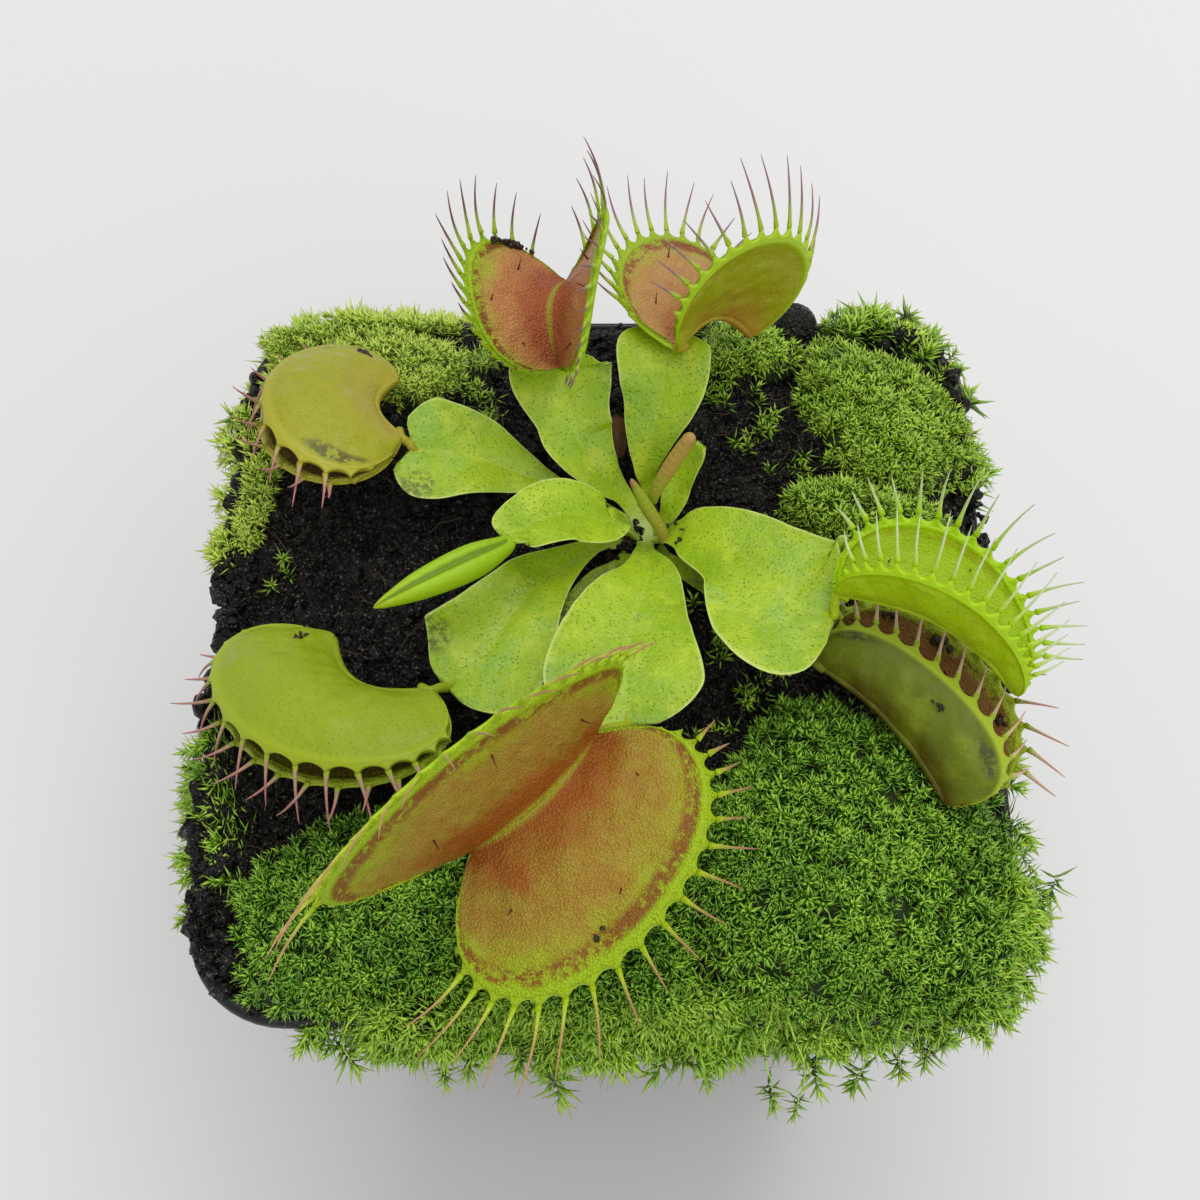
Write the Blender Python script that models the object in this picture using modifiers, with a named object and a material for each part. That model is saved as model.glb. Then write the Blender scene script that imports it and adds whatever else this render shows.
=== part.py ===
"""Potted Venus flytrap: a square nursery pot, its peat, moss cushions and the plant.

Sizes are in millimetres in the tables below and become metres through MM.
The origin is the middle of the pot's underside, +Z is up, and the front of the
pot faces -Y. Heights in the plant's tables are measured from the pot's rim.
"""

import math

import bmesh
import bpy
from mathutils import Vector

MM = 0.001

# Pot
RIM_WIDTH = 80.0
BASE_WIDTH = 56.0
POT_HEIGHT = 70.0
WALL = 1.2
BAND_HEIGHT = 9.0
BAND_STEP = 1.1
BAND_STEP_HEIGHT = 0.8
BAND_FLARE = 0.8
RIM_CORNER = 10.0
BASE_CORNER = 7.0
DRAIN_RADIUS = 3.0
DRAIN_REACH = 17.0
DRAIN_CUT_LENGTH = 8.0

# Peat and moss
GAP = 0.35
PEAT_INSET = WALL + GAP + 0.2
BAND_CLEAR = 2.0
MOUND = 7.0
MOUND_POWER = 2.2
MOUND_REACH = 39.5
LUMP = 0.5
MOSS_LIFT = 0.6
MOSS_EDGE = 0.9

# Plant
CROWN = (4.0, 8.8)
BULB_RADIUS = 3.4
BULB_SQUASH = 0.9
BULB_SINK = 2.2
BLADE = 0.8
WING_FOLD = 0.14
LOBE = 0.5
# A tooth leans in no further than straight out of the trap's mouth.
LEAST_LEAN = 0.0

# Petioles: from the crown to the trap. Each row is x, y, height above the rim, half-width.
PETIOLES = {
    "petiole_back_left": (
        (2.0, 12.0, 8.4, 0.9),
        (-0.5, 13.6, 10.8, 2.3),
        (-2.6, 16.1, 12.8, 3.6),
        (-3.4, 18.3, 14.2, 3.9),
        (-4.6, 22.1, 16.2, 5.2),
        (-4.3, 24.0, 16.7, 3.4),
    ),
    "petiole_back": (
        (4.3, 12.8, 8.8, 0.6),
        (4.1, 14.2, 11.2, 1.3),
        (4.5, 16.3, 13.8, 2.6),
        (5.6, 19.6, 16.6, 4.2),
        (5.8, 23.4, 18.2, 4.7),
        (6.0, 24.9, 18.4, 3.6),
    ),
    "petiole_left": (
        (-0.4, 11.0, 8.2, 0.8),
        (-5.8, 12.9, 9.8, 1.3),
        (-12.8, 15.1, 11.2, 4.6),
        (-17.4, 15.7, 11.6, 5.9),
        (-19.6, 16.1, 11.7, 4.6),
    ),
    "petiole_young": (
        (1.2, 7.6, 12.0, 1.2),
        (0.1, 6.9, 12.9, 2.6),
        (-4.3, 6.4, 15.4, 3.7),
        (-8.4, 3.6, 17.2, 2.8),
        (-9.4, 2.4, 17.6, 1.6),
    ),
    "petiole_front_left": (
        (-1.2, 6.0, 9.4, 0.8),
        (-6.0, 1.4, 11.5, 3.0),
        (-9.1, -2.9, 12.0, 5.0),
        (-12.0, -7.9, 12.4, 6.7),
        (-15.0, -10.6, 12.2, 3.8),
    ),
    "petiole_old": (
        (1.2, 4.4, 8.3, 0.6),
        (-1.0, 2.4, 8.6, 1.2),
        (-2.6, -1.0, 8.8, 1.8),
        (-3.4, -4.2, 8.9, 1.0),
    ),
    "petiole_front": (
        (3.9, 5.2, 9.6, 1.1),
        (4.1, 1.1, 12.0, 3.3),
        (2.5, -4.4, 13.8, 5.7),
        (1.6, -11.2, 15.4, 7.4),
        (1.9, -15.8, 15.4, 6.0),
    ),
    "petiole_right": (
        (7.6, 6.6, 10.4, 1.0),
        (9.0, 5.8, 12.0, 3.0),
        (13.1, 2.8, 13.8, 4.9),
        (17.3, -2.5, 15.6, 8.0),
        (20.0, -4.2, 16.4, 6.2),
    ),
    "petiole_right_low": (
        (6.4, 5.0, 8.0, 0.8),
        (10.4, 2.0, 9.4, 1.6),
        (16.2, -2.6, 10.4, 2.4),
        (20.4, -4.9, 10.7, 1.2),
    ),
    "petiole_new": (
        (6.3, 9.4, 10.0, 1.0),
        (7.4, 11.6, 13.0, 1.5),
        (9.2, 13.4, 16.4, 1.3),
    ),
}

# Traps: neck is where the midrib leaves the petiole. Heading, pitch and roll turn the midrib
# and the mouth, gape is each lobe's angle from the mouth's axis at the midrib and at its
# margin, deep is each lobe's depth, spread is how far the lobe fans out past the midrib.
TRAPS = {
    "trap_front": dict(
        neck=(-1.1, -17.4, 17.1), heading=221, pitch=-15, roll=-38, midrib=15.0, arch=2.8,
        spread=59, gape=((55, 55), (52, 56)), deep=(13.9, 14.7), skew=0.15, square=3.2,
        teeth=(15, 7.5, 10),
    ),
    "trap_back_left": dict(
        neck=(-4.5, 21.4, 18.6), heading=86, pitch=15, roll=-20, midrib=8.7, arch=3.6,
        spread=30, gape=((63, 26), (43, 48)), deep=(10.8, 8.4), skew=0.3, square=4.0,
        teeth=(11, 6.0, 22),
    ),
    "trap_back": dict(
        neck=(7.1, 22.9, 19.6), heading=31, pitch=-27, roll=-39, midrib=10.2, arch=2.7,
        spread=41, gape=((41, 40), (55, 49)), deep=(11.1, 11.9), skew=0.08, square=2.2,
        teeth=(12, 6.5, 15),
    ),
    "trap_left": dict(
        neck=(-20.9, 16.9, 12.4), heading=97, pitch=-21, roll=-79, midrib=10.2, arch=2.1,
        spread=64, gape=((44, -36), (44, -36)), deep=(12.5, 12.5), skew=-0.25, square=2.0,
        teeth=(12, 4.0, 8),
    ),
    "trap_front_left": dict(
        neck=(-16.6, -11.6, 13.2), heading=142, pitch=-22, roll=-82, midrib=14.0, arch=2.9,
        spread=72, gape=((40, -32), (40, -32)), deep=(12.0, 12.0), skew=0.2, square=5.0,
        teeth=(14, 4.5, 8),
    ),
    "trap_right_open": dict(
        neck=(21.6, -3.6, 18.0), heading=-25, pitch=-16, roll=-29, midrib=19.5, arch=2.9,
        spread=32, gape=((30, 20), (70, 8)), deep=(6.0, 8.0), skew=-0.35, square=2.0,
        teeth=(14, 5.0, 12),
    ),
    "trap_right_closing": dict(
        neck=(21.4, -5.6, 11.1), heading=-47, pitch=-12, roll=-67, midrib=18.5, arch=0.8,
        spread=30, gape=((56, -28), (50, -15)), deep=(7.4, 11.2), skew=0.08, square=2.2,
        teeth=(12, 2.4, 18),
    ),
}

# Rods: furled traps and shoots. Each row is x, y, height above the rim, radius.
RODS = {
    "trap_young": (
        (-9.9, 1.3, 17.9, 1.0), (-12.8, -0.8, 18.7, 1.7), (-17.3, -3.7, 19.6, 1.3),
        (-21.4, -6.2, 20.0, 0.35),
    ),
    "trap_new": (
        (4.9, 9.7, 14.0, 0.7), (6.5, 10.9, 17.4, 0.85), (8.3, 11.9, 21.0, 0.7),
    ),
    "shoot_new": (
        (5.3, 7.2, 10.8, 0.45), (3.9, 8.2, 13.6, 0.5), (2.4, 9.4, 16.6, 0.3),
    ),
    "leaf_scale": (
        (1.2, 17.4, 8.4, 0.5), (1.2, 18.9, 9.6, 0.8), (1.1, 20.4, 11.0, 0.4),
    ),
}

# Moss cushions: x, y, half-length, half-width, turn in degrees, height.
MOSS = {
    "moss_back_left": (-25.5, 32.0, 12.5, 5.6, -10, 3.6),
    "moss_left": (-36.2, 17.0, 9.0, 2.6, 88, 2.6),
    "moss_back_middle": (15.6, 33.4, 6.4, 4.2, 8, 3.6),
    "moss_back_right": (30.2, 24.6, 11.0, 8.4, -52, 5.0),
    "moss_middle_right": (27.0, 10.8, 9.4, 4.0, -6, 4.6),
    "moss_front_right": (23.8, -26.0, 16.6, 14.6, 8, 4.8),
    "moss_front_left": (-24.0, -31.6, 14.6, 8.6, -4, 4.2),
    "moss_front_middle": (-1.5, -34.0, 7.0, 7.4, 0, 3.6),
}
PEAT_LUMP = (21.1, 38.2, 2.4)

COLOURS = {
    "pot": ((0.012, 0.012, 0.013), 0.45),
    "peat": ((0.010, 0.008, 0.007), 0.95),
    "moss": ((0.10, 0.26, 0.02), 0.75),
    "petiole": ((0.27, 0.47, 0.05), 0.45),
    "trap": ((0.38, 0.44, 0.07), 0.45),
    "trap_new": ((0.50, 0.36, 0.14), 0.50),
    "rhizome": ((0.62, 0.60, 0.42), 0.60),
}


def material(name):
    """Return the named Principled material, making it on first use."""
    found = bpy.data.materials.get(name)
    if found:
        return found
    colour, roughness = COLOURS[name]
    made = bpy.data.materials.new(name)
    made.use_nodes = True
    shader = made.node_tree.nodes["Principled BSDF"]
    shader.inputs["Base Color"].default_value = (*colour, 1.0)
    shader.inputs["Roughness"].default_value = roughness
    shader.inputs["Metallic"].default_value = 0.0
    made.diffuse_color = (*colour, 1.0)
    return made


def add_object(name, bm, colour, collection):
    """Turn a bmesh in millimetres into a named object in metres."""
    bmesh.ops.scale(bm, vec=(MM, MM, MM), verts=bm.verts)
    mesh = bpy.data.meshes.new(name)
    bm.to_mesh(mesh)
    bm.free()
    mesh.materials.append(material(colour))
    mesh.shade_smooth()
    made = bpy.data.objects.new(name, mesh)
    collection.objects.link(made)
    return made


def loft(rings, close_start=True, close_end=True):
    """Skin rings of equal point counts; a one-point ring at an end is a pole."""
    bm = bmesh.new()
    rows = [[bm.verts.new(p) for p in ring] for ring in rings]
    for low, high in zip(rows, rows[1:], strict=False):
        count = max(len(low), len(high))
        for i in range(count):
            j = (i + 1) % count
            quad = (low[i % len(low)], low[j % len(low)], high[j % len(high)], high[i % len(high)])
            bm.faces.new(tuple(dict.fromkeys(quad)))
    if close_start and len(rows[0]) > 1:
        bm.faces.new(list(reversed(rows[0])))
    if close_end and len(rows[-1]) > 1:
        bm.faces.new(rows[-1])
    bmesh.ops.recalc_face_normals(bm, faces=bm.faces)
    return bm


def solidify(made, thickness, offset):
    """Give a sheet its thickness."""
    shell = made.modifiers.new("Thickness", "SOLIDIFY")
    shell.thickness = thickness * MM
    shell.offset = offset
    shell.use_even_offset = True


def rounded_square(half, corner, height, corner_points=6):
    """Points of a square with round corners, anticlockwise, at one height."""
    points = []
    for quarter in range(4):
        centre_angle = math.radians(45 + 90 * quarter)
        centre = (half - corner) * math.sqrt(2)
        for i in range(corner_points):
            angle = math.radians(90 * quarter + 90 * i / (corner_points - 1))
            points.append(
                Vector((
                    centre * math.cos(centre_angle) + corner * math.cos(angle),
                    centre * math.sin(centre_angle) + corner * math.sin(angle),
                    height,
                ))
            )
    return points


def wall_half(height):
    """Half-width of the pot's tapered wall, outside, below its band."""
    top = RIM_WIDTH / 2 - BAND_STEP - BAND_FLARE
    return BASE_WIDTH / 2 + (top - BASE_WIDTH / 2) * height / POT_HEIGHT


def corner_at(height):
    """Corner radius of the pot's wall at a height."""
    return BASE_CORNER + (RIM_CORNER - BASE_CORNER) * height / POT_HEIGHT


def ground(x, y):
    """Height of the peat above the rim."""
    reach = min(1.0, (abs(x) ** 4 + abs(y) ** 4) ** 0.25 / MOUND_REACH)
    mound = MOUND * (1.0 - reach**MOUND_POWER)
    return mound + LUMP * math.sin(x / 6.0 + 1.0) * math.cos(y / 7.0) * (1.0 - reach)


def make_pot(collection, cutters):
    """Tapered square pot: wall, stepped rim band and a flat floor with drain holes."""
    band_foot = POT_HEIGHT - BAND_HEIGHT
    rings = [
        rounded_square(wall_half(0), corner_at(0), 0),
        rounded_square(wall_half(band_foot), corner_at(band_foot), band_foot),
        rounded_square(wall_half(band_foot) + BAND_STEP, RIM_CORNER, band_foot + BAND_STEP_HEIGHT),
        rounded_square(RIM_WIDTH / 2, RIM_CORNER, POT_HEIGHT),
    ]
    pot = add_object("pot", loft(rings, close_end=False), "pot", collection)
    solidify(pot, WALL, -1.0)
    for quarter in range(4):
        angle = math.radians(45 + 90 * quarter)
        bm = bmesh.new()
        bmesh.ops.create_cone(
            bm, cap_ends=True, segments=16, radius1=DRAIN_RADIUS, radius2=DRAIN_RADIUS,
            depth=DRAIN_CUT_LENGTH,
        )
        shift = Vector((DRAIN_REACH * math.cos(angle), DRAIN_REACH * math.sin(angle), 0.0))
        bmesh.ops.translate(bm, vec=shift, verts=bm.verts)
        cutter = add_object(f"drain_cutter_{quarter + 1}", bm, "pot", cutters)
        cutter.hide_render = True
        cutter.display_type = "WIRE"
        cut = pot.modifiers.new(f"Drain {quarter + 1}", "BOOLEAN")
        cut.operation = "DIFFERENCE"
        cut.solver = "EXACT"
        cut.object = cutter


def make_peat(collection, cutters):
    """Plug of peat that fills the pot and mounds over it, with a pocket for the rhizome."""
    band_foot = POT_HEIGHT - BAND_HEIGHT
    band_half = RIM_WIDTH / 2 - PEAT_INSET
    rings = []
    for height in (WALL + GAP, band_foot - BAND_CLEAR):
        half = wall_half(height) - PEAT_INSET
        rings.append(rounded_square(half, corner_at(height) - WALL, height))
    for height, half in (
        (band_foot + BAND_CLEAR + 1.0, band_half - BAND_CLEAR),
        (POT_HEIGHT - 0.6, band_half - 0.2),
    ):
        rings.append(rounded_square(half, RIM_CORNER - WALL, height))
    edge = rounded_square(band_half, RIM_CORNER - WALL, 0)
    for share in (0.985, 0.88, 0.76, 0.64, 0.52, 0.4, 0.28, 0.14, 0.0):
        ring = []
        for point in edge if share else edge[:1]:
            x, y = point.x * share, point.y * share
            ring.append(Vector((x, y, POT_HEIGHT + ground(x, y))))
        rings.append(ring)
    peat = add_object("peat", loft(rings), "peat", collection)
    pocket = make_bulb("rhizome_pocket", BULB_RADIUS + GAP, "peat", cutters)
    pocket.hide_render = True
    pocket.display_type = "WIRE"
    cut = peat.modifiers.new("Rhizome pocket", "BOOLEAN")
    cut.operation = "DIFFERENCE"
    cut.solver = "EXACT"
    cut.object = pocket


def make_bulb(name, radius, colour, collection):
    """Squat onion shape, sunk in the peat at the crown."""
    bm = bmesh.new()
    bmesh.ops.create_uvsphere(bm, u_segments=14, v_segments=8, radius=radius)
    bmesh.ops.scale(bm, vec=(1.0, 1.0, BULB_SQUASH), verts=bm.verts)
    height = POT_HEIGHT + ground(*CROWN) - BULB_SINK
    bmesh.ops.translate(bm, vec=(*CROWN, height), verts=bm.verts)
    return add_object(name, bm, colour, collection)


def smooth_rows(rows, steps):
    """Read a smooth curve through the rows, each a tuple of numbers."""
    before = tuple(2 * a - b for a, b in zip(rows[0], rows[1], strict=True))
    after = tuple(2 * a - b for a, b in zip(rows[-1], rows[-2], strict=True))
    rows = [before, *rows, after]
    spans = len(rows) - 3
    read = []
    for step in range(steps + 1):
        place = step / steps * spans
        first = min(int(place), spans - 1)
        t = place - first
        read.append(
            tuple(
                0.5 * (2 * b + (c - a) * t + (2 * a - 5 * b + 4 * c - d) * t**2
                       + (3 * b - a - 3 * c + d) * t**3)
                for a, b, c, d in zip(*rows[first:first + 4], strict=True)
            )
        )
    return read


def make_petiole(name, rows, collection, steps=10):
    """Winged leaf stalk: a sheet along its midline, its two wings tilted up a little."""
    read = smooth_rows(rows, steps)
    bm = bmesh.new()
    lines = []
    for i, (x, y, height, half) in enumerate(read):
        before, after = Vector(read[max(0, i - 1)][:3]), Vector(read[min(steps, i + 1)][:3])
        along = (after - before).normalized()
        side = along.cross(Vector((0, 0, 1))).normalized()
        up = side.cross(along)
        line = []
        for across in (-1.0, -0.55, 0.0, 0.55, 1.0):
            lift = WING_FOLD * half * abs(across) ** 1.5
            point = Vector((x, y, POT_HEIGHT + height)) + side * (across * half) + up * lift
            line.append(bm.verts.new(point))
        lines.append(line)
    for low, high in zip(lines, lines[1:], strict=False):
        for i in range(4):
            bm.faces.new((low[i], low[i + 1], high[i + 1], high[i]))
    made = add_object(name, bm, "petiole", collection)
    solidify(made, BLADE, -1.0)


def trap_axes(heading, pitch, roll):
    """Unit vectors along the midrib, out of the mouth, and across the trap."""
    heading, pitch, roll = (math.radians(a) for a in (heading, pitch, roll))
    along = Vector((
        math.cos(heading) * math.cos(pitch), math.sin(heading) * math.cos(pitch), math.sin(pitch)
    ))
    upright = (Vector((0, 0, 1)) - along * along.z).normalized()
    mouth = upright * math.cos(roll) + along.cross(upright) * math.sin(roll)
    return along, mouth, along.cross(mouth)


def lobe_column(trap, side, along_share, rows):
    """Points of one lobe from midrib to margin, and the way a tooth grows there."""
    along, mouth, across = trap_axes(trap["heading"], trap["pitch"], trap["roll"])
    which = 0 if side > 0 else 1
    start, end = trap["gape"][which]
    u = math.sin(math.pi / 2 * along_share)
    base = Vector(trap["neck"]) + Vector((0, 0, POT_HEIGHT))
    base += along * (trap["midrib"] / 2 * (1 + u)) + mouth * (trap["arch"] * (1 - u * u))
    length = trap["deep"][which] * (1 - abs(u) ** trap["square"]) ** 0.5 * (1 + trap["skew"] * u)
    fan = math.radians(u * trap["spread"])

    def heading_at(angle):
        lean = math.radians(angle)
        leaning = mouth * math.cos(lean) + across * (side * math.sin(lean))
        return along * math.sin(fan) + leaning * math.cos(fan)

    # A lobe curls over less where it is shallow, so that the two lobes stay apart at their ends.
    curl = (end - start) * min(1.0, length / trap["deep"][which])
    points = [base]
    for i in range(rows):
        angle = start + curl * (i + 0.5) / rows
        points.append(points[-1] + heading_at(angle) * (length / rows))
    return points, heading_at(max(start + curl - trap["teeth"][2], LEAST_LEAN))


def make_trap(name, trap, collection, rows=3):
    """Two lobes hinged on a midrib, their margins carrying teeth in turn, as one sheet."""
    teeth, tooth_length, _ = trap["teeth"]
    columns = 2 * teeth + 1
    shares = [-0.94 + 1.88 * i / (columns - 1) for i in range(columns)]
    bm = bmesh.new()
    midrib = None
    for side in (1, -1):
        read = [lobe_column(trap, side, share, rows) for share in shares]
        if midrib is None:
            midrib = [bm.verts.new(points[0]) for points, _ in read]
        grid = [
            [root, *(bm.verts.new(p) for p in points[1:])]
            for root, (points, _) in zip(midrib, read, strict=True)
        ]
        for i in range(columns - 1):
            for j in range(rows):
                quad = (grid[i][j], grid[i + 1][j], grid[i + 1][j + 1], grid[i][j + 1])
                bm.faces.new(quad if side < 0 else tuple(reversed(quad)))
        first = 0 if side > 0 else 1
        for i in range(first, columns - 1, 2):
            low, high = grid[i][rows], grid[i + 1][rows]
            reach = tooth_length * (0.55 + 0.45 * math.cos(shares[i] * 1.3))
            tip = (low.co + high.co) / 2 + (read[i][1] + read[i + 1][1]).normalized() * reach
            tooth = (low, high, bm.verts.new(tip))
            bm.faces.new(tooth if side < 0 else tuple(reversed(tooth)))
    made = add_object(name, bm, "trap", collection)
    solidify(made, LOBE, 0.0)


def make_rod(name, rows, collection, colour):
    """Furled trap or shoot: a tapering round rod with closed ends."""
    read = smooth_rows(rows, 8)
    curve = bpy.data.curves.new(name, "CURVE")
    curve.dimensions = "3D"
    curve.bevel_depth = MM
    curve.bevel_resolution = 2
    curve.use_fill_caps = True
    spline = curve.splines.new("POLY")
    spline.points.add(len(read) - 1)
    for point, (x, y, height, radius) in zip(spline.points, read, strict=True):
        point.co = (x * MM, y * MM, (POT_HEIGHT + height) * MM, 1.0)
        point.radius = radius
    curve.materials.append(material(colour))
    collection.objects.link(bpy.data.objects.new(name, curve))


def make_moss(name, spec, collection, points=18):
    """Cushion that follows the peat below and swells above it."""
    x0, y0, length, width, turn, tall = spec
    turn = math.radians(turn)

    def place(share, angle):
        wave = 1.0 + 0.07 * math.sin(3 * angle + x0) + 0.05 * math.sin(5 * angle + y0)
        a = share * wave * length * math.cos(angle)
        b = share * wave * width * math.sin(angle)
        return x0 + a * math.cos(turn) - b * math.sin(turn), y0 + a * math.sin(turn) + b * math.cos(turn)

    def ring(share, lift):
        made = []
        for i in range(points):
            x, y = place(share, 2 * math.pi * i / points)
            made.append(Vector((x, y, POT_HEIGHT + max(ground(x, y), 0.0) + lift)))
        return made if share else made[:1]

    rings = [ring(share, MOSS_LIFT) for share in (0.0, 0.35, 0.7, 1.0)]
    for share in (1.0, 0.84, 0.6, 0.32, 0.0):
        swell = MOSS_EDGE + (tall - MOSS_EDGE) * (1.0 - share**2) ** 0.6
        rings.append(ring(share, MOSS_LIFT + swell))
    add_object(name, loft(rings), "moss", collection)


def make_peat_lump(collection):
    """Round crumb of peat lying at the back of the pot."""
    x, y, radius = PEAT_LUMP
    squash = Vector((1.1, 0.9, 0.8))
    bm = bmesh.new()
    bmesh.ops.create_icosphere(bm, subdivisions=2, radius=radius)
    bmesh.ops.scale(bm, vec=squash, verts=bm.verts)
    height = POT_HEIGHT + ground(x, y) + radius * squash.z + MOSS_LIFT
    bmesh.ops.translate(bm, vec=(x, y, height), verts=bm.verts)
    add_object("peat_lump", bm, "peat", collection)


def main():
    for old in list(bpy.data.objects):
        bpy.data.objects.remove(old, do_unlink=True)
    scene = bpy.context.scene.collection
    parts = bpy.data.collections.new("potted_venus_flytrap")
    cutters = bpy.data.collections.new("cutters")
    scene.children.link(parts)
    scene.children.link(cutters)
    make_pot(parts, cutters)
    make_peat(parts, cutters)
    make_bulb("rhizome", BULB_RADIUS, "rhizome", parts)
    for name, rows in PETIOLES.items():
        make_petiole(name, rows, parts)
    for name, trap in TRAPS.items():
        make_trap(name, trap, parts)
    for name, rows in RODS.items():
        make_rod(name, rows, parts, "trap_new" if name in ("trap_new", "shoot_new") else "trap")
    for name, spec in MOSS.items():
        make_moss(name, spec, parts)
    make_peat_lump(parts)


main()
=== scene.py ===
import math

import bmesh
import bpy
import numpy as np
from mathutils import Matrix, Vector


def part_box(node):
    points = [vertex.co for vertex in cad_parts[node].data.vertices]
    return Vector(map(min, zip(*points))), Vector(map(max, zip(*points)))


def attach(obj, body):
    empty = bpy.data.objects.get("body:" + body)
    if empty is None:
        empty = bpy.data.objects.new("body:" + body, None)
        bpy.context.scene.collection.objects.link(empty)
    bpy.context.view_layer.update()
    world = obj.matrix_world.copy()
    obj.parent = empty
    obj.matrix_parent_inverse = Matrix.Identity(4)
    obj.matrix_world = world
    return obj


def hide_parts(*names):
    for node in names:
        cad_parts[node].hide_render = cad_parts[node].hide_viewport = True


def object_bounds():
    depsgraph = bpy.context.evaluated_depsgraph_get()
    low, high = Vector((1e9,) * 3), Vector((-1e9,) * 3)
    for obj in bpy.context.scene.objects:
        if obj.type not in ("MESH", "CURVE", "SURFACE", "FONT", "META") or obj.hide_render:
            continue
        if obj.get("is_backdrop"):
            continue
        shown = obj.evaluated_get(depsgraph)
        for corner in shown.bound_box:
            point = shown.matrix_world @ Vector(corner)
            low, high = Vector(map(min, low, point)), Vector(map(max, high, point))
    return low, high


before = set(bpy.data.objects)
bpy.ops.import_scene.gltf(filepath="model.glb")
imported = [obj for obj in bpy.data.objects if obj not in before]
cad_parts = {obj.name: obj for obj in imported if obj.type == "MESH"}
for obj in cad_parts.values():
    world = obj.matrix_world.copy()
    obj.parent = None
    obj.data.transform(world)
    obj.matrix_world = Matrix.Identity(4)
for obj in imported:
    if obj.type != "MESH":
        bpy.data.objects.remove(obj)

bl_info = {
    "name": "Potted Venus Flytrap",
    "version": (1, 0, 0),
    "blender": (4, 5, 0),
    "location": "3D View > Sidebar > Flytrap",
    "description": "Builds a Venus flytrap with its moss, peat and square nursery pot",
    "category": "Add Mesh",
}

# All sizes are in millimetres, measured from the middle of the pot's underside.
# Heights in the plant's tables are measured from the pot's rim.
MM = 0.001
CAD_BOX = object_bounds()
POT_LOW, POT_HIGH = (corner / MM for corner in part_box("pot"))
PEAT_LOW, PEAT_HIGH = (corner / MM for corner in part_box("peat"))
BULB_LOW, BULB_HIGH = (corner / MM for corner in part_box("rhizome"))
LIP_RISE = 0.4
RIM = POT_HIGH.z - LIP_RISE
RIM_HALF = POT_HIGH.x
CROWN = np.array([(BULB_LOW.x + BULB_HIGH.x) / 2, (BULB_LOW.y + BULB_HIGH.y) / 2, BULB_HIGH.z])
GOLDEN_ANGLE = math.pi * (3 - math.sqrt(5))
MOST_FACES = 180000
LEAF_TRIANGLES = 10
FLOOR_REACH = 12.0
CAMERA_PLACE = (-0.6, -76.0, RIM + 161.0)
UP = np.array([0.0, 0.0, 1.0])

# Petioles: x, y, height above the rim, half-width, from the crown to the trap.
PETIOLES = {
    "petiole_back_left": (
        (2.0, 12.0, 8.4, 0.9), (-0.5, 13.6, 10.8, 2.3), (-2.6, 16.1, 12.8, 3.6),
        (-3.4, 18.3, 14.2, 3.9), (-4.6, 22.1, 16.2, 5.2), (-4.3, 24.0, 16.7, 3.4),
    ),
    "petiole_back": (
        (4.3, 12.8, 8.8, 0.6), (4.1, 14.2, 11.2, 1.3), (4.5, 16.3, 13.8, 2.6),
        (5.6, 19.6, 16.6, 4.2), (5.8, 23.4, 18.2, 4.7), (6.0, 24.9, 18.4, 3.6),
    ),
    "petiole_left": (
        (-0.4, 11.0, 8.2, 0.8), (-5.8, 12.9, 9.8, 1.3), (-12.8, 15.1, 11.2, 4.6),
        (-17.4, 15.7, 11.6, 5.9), (-19.6, 16.1, 11.7, 4.6),
    ),
    "petiole_young": (
        (1.2, 7.6, 12.0, 1.2), (0.1, 6.9, 12.9, 2.6), (-4.3, 6.4, 15.4, 3.7),
        (-8.4, 3.6, 17.2, 2.8), (-9.4, 2.4, 17.6, 1.6),
    ),
    "petiole_front_left": (
        (-1.2, 6.0, 9.4, 0.8), (-6.0, 1.4, 11.5, 3.0), (-9.1, -2.9, 12.0, 5.0),
        (-12.0, -7.9, 12.4, 6.7), (-15.0, -10.6, 12.2, 3.8),
    ),
    "petiole_old": (
        (1.2, 4.4, 8.3, 0.6), (-1.0, 2.4, 8.6, 1.2), (-2.6, -1.0, 8.8, 1.8), (-3.4, -4.2, 8.9, 1.0),
    ),
    "petiole_front": (
        (3.9, 5.2, 9.6, 1.1), (4.1, 1.1, 12.0, 3.3), (2.5, -4.4, 13.8, 5.7),
        (1.6, -11.2, 15.4, 7.4), (1.9, -15.8, 15.4, 6.0),
    ),
    "petiole_right": (
        (7.0, 6.9, 10.4, 1.5), (9.0, 5.8, 12.0, 3.2), (13.1, 2.8, 13.8, 4.9),
        (17.5, -3.3, 15.6, 8.3), (21.3, -5.1, 16.2, 6.6),
    ),
    "petiole_right_low": (
        (6.4, 5.0, 8.0, 0.8), (10.4, 2.0, 9.4, 1.6), (16.2, -2.6, 10.4, 2.4), (20.4, -4.9, 10.7, 1.2),
    ),
    "petiole_new": (
        (6.3, 9.4, 10.0, 1.0), (7.4, 11.6, 13.0, 1.5), (9.2, 13.4, 16.4, 1.3),
    ),
}

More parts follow.
